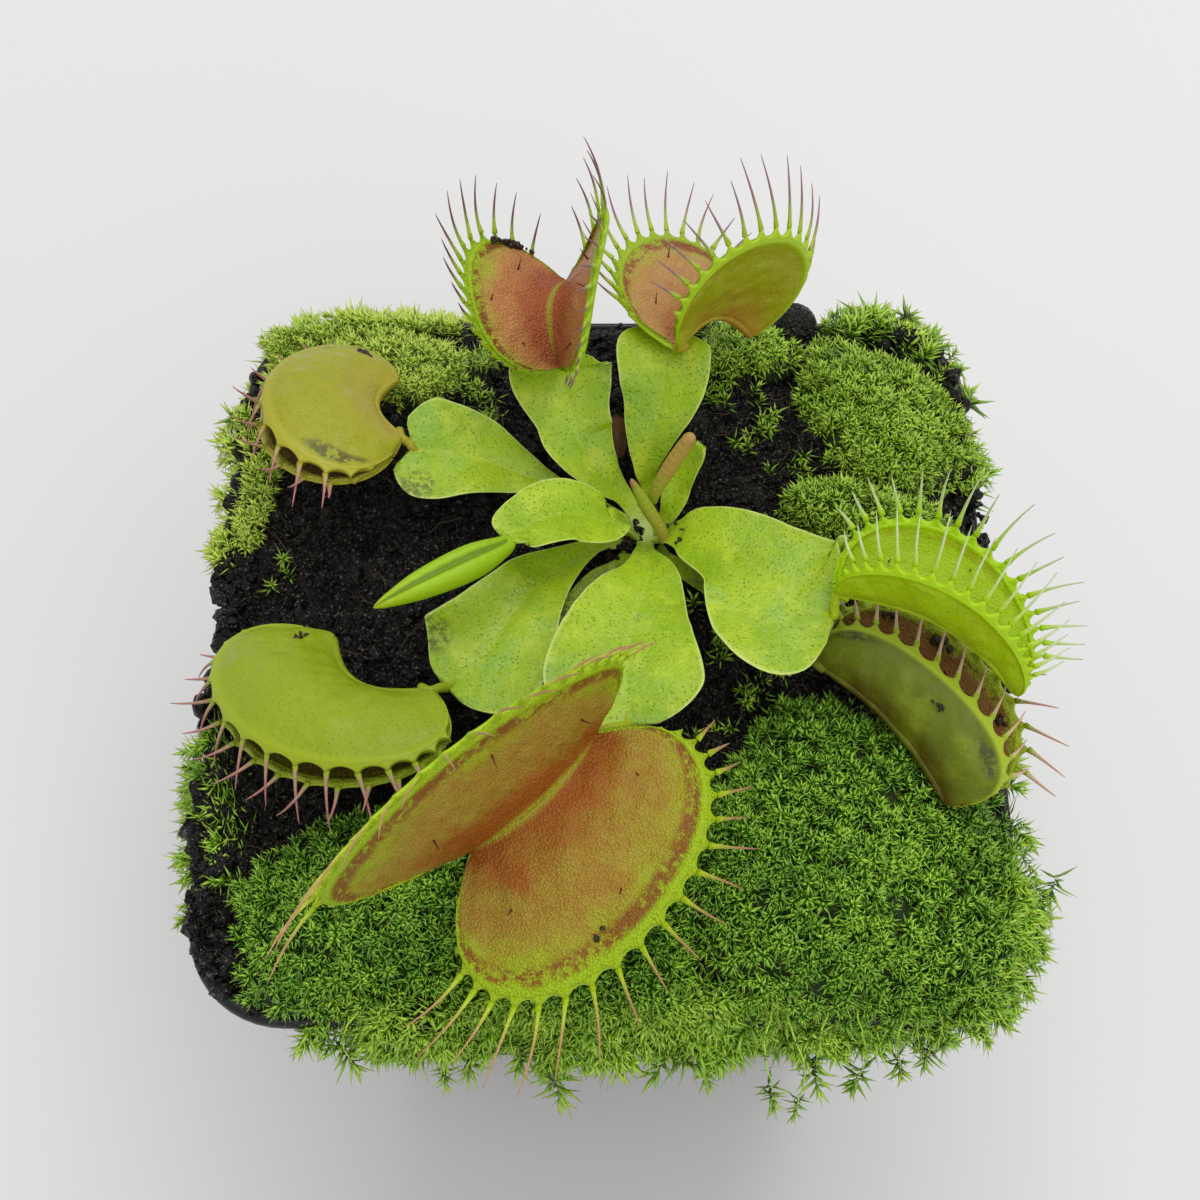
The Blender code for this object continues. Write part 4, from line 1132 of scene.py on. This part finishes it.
def lobe_grid(trap, side, rows, columns_per_tooth=8, web_rows=7):
    """A lobe's surface with its scalloped margin, and how its teeth grow.

    Returns the place along the margin of each column, the surface, its inward normals, the depth
    from hinge to margin, each column's length, the way of its teeth and where the teeth stand.
    """
    along, mouth, across = trap_axes(trap)
    which = 0 if side > 0 else 1
    count = trap["teeth"][0]
    start, end = trap["gape"][which]
    w = np.linspace(-0.985, 0.985, count * columns_per_tooth + 1)
    u = np.sin(math.pi / 2 * w)
    base = np.array(trap["neck"]) + (0, 0, RIM) + along * (trap["midrib"] / 2 * (1 + u))[:, None]
    base = base + mouth * (trap["arch"] * (1 - u * u))[:, None]
    length = trap["deep"][which] * np.sqrt(np.maximum(0, 1 - np.abs(u) ** trap["square"][which]))
    length = length * (1 + trap["skew"][which] * u)
    fan = np.radians(u * trap["spread"])
    v = 1 - (1 - np.linspace(0, 1, rows)) ** 1.25
    reach = v[None] * length[:, None]
    hinge = np.exp(-reach / 0.6) * np.clip(length[:, None] / 5, 0, 1)
    lean = np.radians(start + (end - start) * v[None] + (86 - start) * hinge)[..., None]
    leaning = mouth * np.cos(lean) + across * (side * np.sin(lean))
    ways = along * np.sin(fan)[:, None, None] + leaning * np.cos(fan)[:, None, None]
    steps = (ways[:, 1:] + ways[:, :-1]) / 2 * np.diff(reach, axis=1)[..., None]
    surface = base[:, None] + np.concatenate([np.zeros_like(ways[:, :1]), np.cumsum(steps, 1)], 1)
    inward = mouth * np.sin(lean[:, -1]) - across * (side * np.cos(lean[:, -1]))

    tangent = unit(np.gradient(surface[:, -1], axis=0))
    square_on = unit(np.cross(tangent, inward))
    square_on = square_on * np.sign((square_on * ways[:, -1]).sum(-1, keepdims=True))
    turn, sweep, fanned = trap["lean"][which]
    turn = math.radians(turn)
    tooth_way = (ways[:, -1] * 0.4 + square_on * 0.6) * math.cos(turn) + inward * math.sin(turn)
    tooth_way = unit(tooth_way + along * (sweep + fanned * w)[:, None])

    phase = np.arange(len(w)) / columns_per_tooth - (0.5 if side > 0 else 0.25)
    away = np.abs(phase - np.round(phase)) * 2
    rise = trap["web"] * np.exp(-away * 2.7) * np.clip(length / 3.5, 0, 1)
    rise = rise * np.clip((0.78 - np.abs(w)) * 8, 0.1, 1)
    fringe = [surface[:, -1]]
    for step in range(1, web_rows + 1):
        blend = 0.25 + 0.75 * step / web_rows
        way = unit(ways[:, -1] * (1 - blend) + tooth_way * blend)
        fringe.append(fringe[-1] + way * (rise / web_rows)[:, None])
    surface = np.concatenate([surface, np.stack(fringe[1:], 1)], 1)
    v = np.concatenate([v, np.full(web_rows, 1.0)])
    normal = unit(np.cross(np.gradient(surface, axis=0), np.gradient(surface, axis=1)))
    facing = mouth * np.sin(lean) - across * (side * np.cos(lean))
    facing = np.concatenate([facing, np.repeat(facing[:, -1:], web_rows, 1)], 1)
    normal = normal * np.sign((normal * facing).sum(-1, keepdims=True))
    stands = [i for i in range(2, len(w) - 2) if away[i] < 1e-6 and abs(w[i]) < trap["toothed"]]
    return w, surface, unit(normal), v, length, tooth_way, stands


def add_lobe(build, trap, side, rows, pebble):
    """One lobe: a thin skin with a pebbled inside, its teeth and its trigger hairs."""
    _, tooth_length, peak = trap["teeth"]
    w, surface, normal, v, length, way, stands = lobe_grid(trap, side, rows)
    shape = surface.shape[:2]
    depth = np.broadcast_to(v[None], shape)
    body = np.clip(depth * 8, 0, 1) * np.clip((0.93 - depth) * 10, 0, 1)
    bumps = pebble * np.maximum(0.0, 0.75 - grains(surface, 0.42, 17)) * body
    swell = (0.2 * noise(surface, 3.2, 19) + 0.12 * noise(surface, 1.2, 29)) * body
    # The margin is thick and rolls over to a round edge.
    row = np.arange(shape[1]) / (shape[1] - 1)
    rounding = np.sqrt(np.maximum(0.0, 1 - row**26))
    roll = 0.16 * np.exp(-(((depth - 0.97) / 0.04) ** 2))
    thick = (0.3 - 0.1 * depth + roll) * rounding + 0.03
    along = np.broadcast_to(w[:, None], shape)
    stain = np.exp(-(((along - 0.45) / 0.16) ** 2) - (((depth - 0.82) / 0.12) ** 2))
    stain = stain + np.exp(-(((along + 0.5) / 0.2) ** 2) - (((depth - 0.86) / 0.1) ** 2))
    surface = surface + normal * swell[..., None]
    thin_sheet(
        build, surface, normal, thick + bumps, thick, along=along, depth=depth,
        stain=stain * (trap["finish"] in ("olive", "shade")),
    )
    rng = np.random.default_rng(int(900 + 7 * length.sum()) + (side > 0))
    margin = surface[:, -1]
    tangent = unit(np.gradient(margin, axis=0))
    t = np.array([-0.06, 0.0, 0.05, 0.1, 0.18, 0.28, 0.4, 0.54, 0.7, 0.85, 0.95, 1.0])
    for i in stands:
        reach = tooth_length * max(0.3, math.exp(-(((w[i] - peak) / 0.72) ** 2))) * rng.uniform(0.85, 1.12)
        aim = unit(way[i] + rng.normal(0, 0.05, 3))
        bend = unit(normal[i, -9]) * (0.22 + rng.normal(0, 0.06)) + tangent[i] * rng.normal(0, 0.05)
        path = margin[i] + aim * (t * reach)[:, None] + bend * (reach * (t * t - t))[:, None]
        radius = 0.155 * (1 - np.clip(t, 0, 1)) ** 0.7 + 0.025
        wide = radius + 0.13 * np.exp(-np.clip(t, 0, 1) * reach / 0.7)
        build.tube(path, radius, 8, (tangent[i], wide), tooth=np.clip(t, 0.02, 1), depth=0.99, inner=0.5)
    for share, level in ((0.3, 0.42), (0.7, 0.42), (0.5, 0.66)):
        i, j = int(share * (len(w) - 1)), int(level * (rows - 1))
        foot = surface[i, j] + normal[i, j] * thick[i, j]
        out = unit(normal[i, j] + 0.5 * way[i] + rng.normal(0, 0.3, 3))
        steps = np.linspace(0, 1, 6)
        build.tube(foot + out * (1.3 * steps)[:, None], 0.1 * (1 - 0.7 * steps), 6, hair=1.0, depth=0.5)


def make_traps(settings):
    """Seven traps, each with the short neck that joins it to its leaf stalk."""
    for name, trap in TRAPS.items():
        open_wide = trap["gape"][0][1] > 0
        rows = 84 if open_wide and trap["midrib"] < 16 else 56
        build = Build()
        for side in (1, -1):
            add_lobe(build, trap, side, rows, settings.pebble / MM if rows > 56 else 0.0)
        along, mouth, across = trap_axes(trap)
        surface = petiole_grid(PETIOLES[trap["stalk"]])[0]
        middle = surface.shape[1] // 2
        low, lower = surface[-1, middle], surface[-5, middle]
        neck = np.array(trap["neck"]) + (0, 0, RIM)
        stations = [lower - (0, 0, 0.2), low - (0, 0, 0.15)]
        stations += [(low + neck) / 2 - mouth * 0.15, neck - mouth * 0.1]
        path = smooth_rows([*stations, neck + along * 1.2 + mouth * 0.1], 18)
        radius = np.interp(np.linspace(0, 1, len(path)), (0, 0.3, 0.6, 1), (0.25, 0.5, 0.46, 0.5))
        build.tube(path, radius, 12, depth=0.25, tooth=0.0)
        u = np.linspace(-1, 1, 41)
        keel = neck + along * (trap["midrib"] / 2 * (1 + u))[:, None]
        keel = keel + mouth * (trap["arch"] * (1 - u * u))[:, None]
        thick = 0.4 * np.sqrt(np.maximum(0.02, 1 - np.abs(u) ** 6)) + 0.05
        build.tube(keel - mouth * 0.18, thick, 12, (across, thick * 1.3), depth=0.08)
        finish = trap_finish(settings, f"trap_{trap['finish']}", *FINISHES[trap["finish"]])
        build.finish(f"{name}_lobes", finish, "trap", name)


def make_young_growth():
    """Furled traps and the youngest shoot at the crown, and a dry leaf scale."""
    colours = {
        "trap_young": ("8fb408", "9cc00c", "a8a81c"),
        "trap_new": ("98a42c", "b8984c", "b08848"),
        "shoot_new": ("a89a3c", "94a428", "a07840"),
    }
    for name, rows in RODS.items():
        read = smooth_rows(rows, 72)
        t = np.linspace(0, 1, len(read))
        path = read[:, :3] + (0, 0, RIM)
        tip = 1 - np.clip((t - 0.93) / 0.07, 0, 1) ** 2
        radius = read[:, 3] * np.sqrt(np.maximum(0.0, tip) * 0.98 + 0.02)
        along = unit(np.gradient(path, axis=0))
        side = unit(np.cross(along, UP))
        up = np.cross(side, along)
        sides = 40
        angle = 2 * math.pi * np.arange(sides) / sides
        # The seam where the two furled halves meet runs along the top.
        depth = 0.4 if name == "trap_young" else 0.0
        groove = np.exp(-(((angle - math.pi / 2) / 0.32) ** 2)) * (1 - np.exp(-t * 12))[:, None]
        knots = 1 + 0.04 * np.sin(t * 90)[:, None] * np.exp(-(((angle - math.pi / 2) / 0.6) ** 2))
        reach = radius[:, None] * (1 - depth * groove) * knots
        wide = 1.0 if name == "trap_young" else 0.92
        ring = side[:, None] * (np.cos(angle) * wide)[:, None] + up[:, None] * (np.sin(angle) * 0.85)[:, None]
        points = path[:, None] + ring * reach[..., None]
        build = Build()
        last = (len(path) - 1) * sides
        caps = [np.arange(sides)[None, ::-1], (last + np.arange(sides))[None]]
        build.add(
            points, grid_faces(len(path), sides, wrap=True), *caps,
            along=np.repeat(t, sides), groove=(groove * (depth > 0)).ravel(),
        )
        slot = "trap" if name == "trap_young" else "new_growth"
        build.finish(f"{name}_rod", rod_finish(f"{name}_skin", *colours[name]), slot, name)
    low, high = (np.array(corner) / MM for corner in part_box("leaf_scale"))
    t, across = np.linspace(0, 1, 30), np.linspace(-1, 1, 17)
    half = 1.1 * np.sin(math.pi * np.clip(t * 0.9 + 0.1, 0, 1)) ** 0.6
    centre = low + (high - low) * np.column_stack([np.full(30, 0.5), t, t])
    spread = across[None] * half[:, None]
    surface = centre[:, None] + np.stack([spread, 0 * spread, 0.5 * spread**2], -1)
    surface = surface + 0.12 * noise(surface, 0.8, 7)[..., None]
    normal = np.broadcast_to(unit((0, -0.6, 0.8)), surface.shape)
    build = Build()
    thin_sheet(build, surface, normal, 0.08, 0.08, along=np.broadcast_to(t[:, None], surface.shape[:2]))
    finish = rod_finish("dry_scale", "5a3a20", "7a5230", "3a2414")
    build.finish("leaf_scale_skin", finish, "dry_scale", "leaf_scale")


# Dark remains on the traps: trap, lobe, place along and depth, spread, how many, size and whether
# they lie inside.
REMAINS = (
    ("trap_back_left", -1, 0.62, 0.97, 1.2, 44, 0.22, True),
    ("trap_front", -1, 0.12, 0.84, 0.3, 4, 0.22, True),
    ("trap_right_closing", -1, -0.1, 0.9, 0.5, 14, 0.34, True),
    ("trap_right_closing", -1, -0.34, 0.92, 0.35, 8, 0.26, True),
    ("trap_right_closing", -1, 0.3, 0.88, 0.4, 8, 0.24, True),
    ("trap_right_closing", 1, 0.1, 0.7, 0.6, 9, 0.16, False),
    ("trap_left", 1, 0.5, 0.62, 0.5, 8, 0.3, False),
    ("trap_front_left", 1, 0.62, 0.3, 0.9, 8, 0.18, False),
)


def make_specks():
    """Insect remains in the traps and crumbs lying on the leaves."""
    rng = np.random.default_rng(5)
    points, faces = ball(2)
    build = Build()
    for name, side, along, depth, spread, count, size, inside in REMAINS:
        w, surface, normal, v, _, _, _ = lobe_grid(TRAPS[name], side, 56)
        for _ in range(count):
            i = int(np.argmin(np.abs(w - along - rng.normal(0, 0.05 * spread))))
            j = int(np.argmin(np.abs(v - depth - rng.normal(0, 0.05 * spread))))
            lift = (0.35 if inside else -0.35) * (1 + rng.random() * spread)
            place = surface[i, j] + normal[i, j] * lift
            scale = size * rng.uniform(0.5, 1.5, (1, 3))
            shape = points * (1 + 0.45 * noise(points + rng.random() * 9, 0.7, 3))[:, None]
            build.copies(shape, faces, place[None], scale, random_turns(rng, 1))
    for name, row, column in (("petiole_right", 0.2, 0.36), ("petiole_right", 0.3, 0.62)):
        surface, normal = petiole_grid(PETIOLES[name])[:2]
        i, j = int(row * (len(surface) - 1)), int(column * (surface.shape[1] - 1))
        for _ in range(4):
            place = surface[i, j] + normal[i, j] * 0.2 + rng.normal(0, 0.45, 3) * (1, 1, 0.15)
            scale = rng.uniform(0.1, 0.32, (1, 3))
            build.copies(points, faces, place[None], scale, random_turns(rng, 1))
    build.finish("dark_specks", speck_finish(), "dry_scale")


# ---------------------------------------------------------------- stage


def make_stage(settings):
    """Pale floor, plain soft light and the camera."""
    floor = bpy.data.meshes.new("floor")
    signs = ((-1, -1), (1, -1), (1, 1), (-1, 1))
    corners = [(x * FLOOR_REACH, y * FLOOR_REACH, 0) for x, y in signs]
    floor.from_pydata(corners, [], [(0, 1, 2, 3)])
    f = Finish("paper_floor", Roughness=0.9, Specular_IOR_Level=0.2)
    base = tuple(settings.floor)
    floor.materials.append(f.apply(f.mix(f.noise(60.0), base, tuple(c * 0.985 for c in base))))
    made = bpy.data.objects.new("floor", floor)
    bpy.context.scene.collection.objects.link(made)
    made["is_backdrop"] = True
    world = bpy.data.worlds.new("soft_sky")
    world.use_nodes = True
    sky = world.node_tree.nodes["Background"]
    sky.inputs["Color"].default_value = (0.97, 0.98, 1.0, 1.0)
    sky.inputs["Strength"].default_value = settings.sky
    scene = bpy.context.scene
    scene.world = world
    scene.view_settings.view_transform = "Standard"
    target = Vector((0, 0, RIM * MM))
    lamps = (
        ("key", (0.1, 0.45, 1.0), 0.85, settings.key),
        ("fill", (0.3, -0.5, 0.8), 0.9, settings.key * 0.5),
    )
    for name, place, size, power in lamps:
        lamp = bpy.data.lights.new(name, "AREA")
        lamp.size, lamp.energy = size, power
        holder = bpy.data.objects.new(name, lamp)
        holder.location = place
        holder.rotation_euler = (target - holder.location).to_track_quat("-Z", "Y").to_euler()
        scene.collection.objects.link(holder)
    camera = bpy.data.cameras.new("camera")
    camera.lens, camera.sensor_width = settings.lens, 36.0
    camera.clip_start = 0.01
    holder = bpy.data.objects.new("camera", camera)
    holder.location = [c * MM for c in CAMERA_PLACE]
    holder.rotation_euler = (settings.tilt, 0.0, 0.0)
    scene.collection.objects.link(holder)
    scene.camera = holder


# ---------------------------------------------------------------- add-on


def length_setting(name, description, default):
    """A size in metres that the sidebar shows."""
    return bpy.props.FloatProperty(
        name=name, description=description, default=default, unit="LENGTH", precision=5
    )


def colour_setting(name, description, default):
    """A linear colour that the sidebar shows."""
    return bpy.props.FloatVectorProperty(
        name=name, description=description, default=default, subtype="COLOR", size=3, min=0.0, max=1.0
    )


class PotSettings(bpy.types.PropertyGroup):
    """Sizes and colour of the pot."""

    base: length_setting("Base", "Width of the pot's underside", 0.056)
    band: length_setting("Band", "Height of the band under the rim", 0.009)
    wall: length_setting("Wall", "Thickness of the wall", 0.0012)
    colour: colour_setting("Colour", "Colour of the plastic", shade("0d0e0f"))


class PeatSettings(bpy.types.PropertyGroup):
    """Loose matter and colour of the peat."""

    crumbs: bpy.props.IntProperty(name="Crumbs", description="Loose crumbs on the peat", default=5400)
    fibres: bpy.props.IntProperty(name="Fibres", description="Fibres on the peat", default=260)
    colour: colour_setting("Colour", "Colour of the wet peat", shade("060504"))


class MossSettings(bpy.types.PropertyGroup):
    """Density, leaf size and colours of the moss."""

    density: bpy.props.FloatProperty(name="Density", description="Shoots on a square millimetre", default=1.7)
    leaf: length_setting("Leaf", "Length of a moss leaf", 0.00125)
    tip: colour_setting("Tips", "Colour of the youngest leaves", shade("b4d84a"))
    middle: colour_setting("Leaves", "Colour of grown leaves", shade("5f9a1c"))


class PlantSettings(bpy.types.PropertyGroup):
    """Finish of the leaf stalks and traps."""

    stalk: colour_setting("Stalk", "Colour of the winged leaf stalks", shade("9cba14"))
    pebble: length_setting("Pebble", "Height of the grains inside an open trap", 0.00006)
    pebble_depth: bpy.props.FloatProperty(
        name="Fine pebble", description="Depth of the finest grains, in millimetres", default=0.1
    )
    band: bpy.props.FloatProperty(
        name="Band", description="Strength of the dark band under a trap's margin", default=0.85,
        min=0.0, max=1.0,
    )


class StageSettings(bpy.types.PropertyGroup):
    """Floor, light and camera."""

    floor: colour_setting("Floor", "Colour of the floor", (0.79, 0.782, 0.77))
    sky: bpy.props.FloatProperty(name="Sky", description="Strength of the light from all round", default=0.54)
    key: bpy.props.FloatProperty(
        name="Key", description="Power of the soft lamp behind", default=5.5, unit="POWER"
    )
    lens: bpy.props.FloatProperty(name="Lens", description="Focal length in millimetres", default=51.48)
    tilt: bpy.props.FloatProperty(
        name="Tilt", description="Camera's tilt from straight down", default=math.radians(26.6),
        subtype="ANGLE",
    )


GROUPS = {
    "pot": PotSettings, "peat": PeatSettings, "moss": MossSettings, "plant": PlantSettings,
    "stage": StageSettings,
}


class FLYTRAP_OT_stage(bpy.types.Operator):
    """Make the floor, the light and the camera"""

    bl_idname = "flytrap.stage"
    bl_label = "Make Stage"
    bl_options = {"REGISTER", "UNDO"}
    group = "stage"

    def execute(self, context):
        make_stage(context.scene.flytrap_stage)
        return {"FINISHED"}


class FLYTRAP_OT_pot(bpy.types.Operator):
    """Make the pot"""

    bl_idname = "flytrap.pot"
    bl_label = "Make Pot"
    bl_options = {"REGISTER", "UNDO"}
    group = "pot"

    def execute(self, context):
        make_pot(context.scene.flytrap_pot)
        return {"FINISHED"}


class FLYTRAP_OT_peat(bpy.types.Operator):
    """Make the peat, its crumbs and fibres"""

    bl_idname = "flytrap.peat"
    bl_label = "Make Peat"
    bl_options = {"REGISTER", "UNDO"}
    group = "peat"

    def execute(self, context):
        make_peat(context.scene.flytrap_peat)
        return {"FINISHED"}


class FLYTRAP_OT_moss(bpy.types.Operator):
    """Make the moss cushions, fringe and sprigs"""

    bl_idname = "flytrap.moss"
    bl_label = "Make Moss"
    bl_options = {"REGISTER", "UNDO"}
    group = "moss"

    def execute(self, context):
        make_moss(context.scene.flytrap_moss)
        return {"FINISHED"}


class FLYTRAP_OT_rhizome(bpy.types.Operator):
    """Make the bulb at the crown"""

    bl_idname = "flytrap.rhizome"
    bl_label = "Make Rhizome"
    bl_options = {"REGISTER", "UNDO"}
    group = "plant"

    def execute(self, context):
        make_rhizome()
        return {"FINISHED"}


class FLYTRAP_OT_petioles(bpy.types.Operator):
    """Make the winged leaf stalks"""

    bl_idname = "flytrap.petioles"
    bl_label = "Make Leaf Stalks"
    bl_options = {"REGISTER", "UNDO"}
    group = "plant"

    def execute(self, context):
        make_petioles(context.scene.flytrap_plant)
        return {"FINISHED"}


class FLYTRAP_OT_traps(bpy.types.Operator):
    """Make the seven grown traps"""

    bl_idname = "flytrap.traps"
    bl_label = "Make Traps"
    bl_options = {"REGISTER", "UNDO"}
    group = "plant"

    def execute(self, context):
        make_traps(context.scene.flytrap_plant)
        return {"FINISHED"}


class FLYTRAP_OT_young_growth(bpy.types.Operator):
    """Make the furled traps, the shoot and the dry scale"""

    bl_idname = "flytrap.young_growth"
    bl_label = "Make Young Growth"
    bl_options = {"REGISTER", "UNDO"}
    group = "plant"

    def execute(self, context):
        make_young_growth()
        return {"FINISHED"}


class FLYTRAP_OT_specks(bpy.types.Operator):
    """Make insect remains and crumbs on the leaves"""

    bl_idname = "flytrap.specks"
    bl_label = "Make Specks"
    bl_options = {"REGISTER", "UNDO"}
    group = "plant"

    def execute(self, context):
        make_specks()
        return {"FINISHED"}


OPERATORS = (
    FLYTRAP_OT_stage, FLYTRAP_OT_pot, FLYTRAP_OT_peat, FLYTRAP_OT_moss, FLYTRAP_OT_rhizome,
    FLYTRAP_OT_petioles, FLYTRAP_OT_traps, FLYTRAP_OT_young_growth, FLYTRAP_OT_specks,
)


class FLYTRAP_PT_sidebar(bpy.types.Panel):
    """Lists the steps and their settings"""

    bl_label = "Flytrap"
    bl_idname = "FLYTRAP_PT_sidebar"
    bl_space_type = "VIEW_3D"
    bl_region_type = "UI"
    bl_category = "Flytrap"

    def draw(self, context):
        for group, kind in GROUPS.items():
            box = self.layout.box()
            for key in kind.__annotations__:
                box.prop(getattr(context.scene, f"flytrap_{group}"), key)
            for operator in OPERATORS:
                if operator.group == group:
                    box.operator(operator.bl_idname)


def register():
    """Add the settings, the operators and the sidebar."""
    for group, kind in GROUPS.items():
        bpy.utils.register_class(kind)
        setattr(bpy.types.Scene, f"flytrap_{group}", bpy.props.PointerProperty(type=kind))
    for kind in (*OPERATORS, FLYTRAP_PT_sidebar):
        bpy.utils.register_class(kind)


def unregister():
    """Take them out again, in the other order."""
    for kind in (FLYTRAP_PT_sidebar, *reversed(OPERATORS)):
        bpy.utils.unregister_class(kind)
    for group, kind in GROUPS.items():
        delattr(bpy.types.Scene, f"flytrap_{group}")
        bpy.utils.unregister_class(kind)


def main():
    """Make every piece in turn."""
    register()
    bpy.ops.flytrap.stage()
    bpy.ops.flytrap.pot()
    bpy.ops.flytrap.peat()
    bpy.ops.flytrap.moss()
    bpy.ops.flytrap.rhizome()
    bpy.ops.flytrap.petioles()
    bpy.ops.flytrap.traps()
    bpy.ops.flytrap.young_growth()
    bpy.ops.flytrap.specks()
    boxes = {"cad": CAD_BOX, "visual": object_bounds()}
    boxes = {name: [list(corner) for corner in box] for name, box in boxes.items()}


if __name__ == "__main__":
    main()
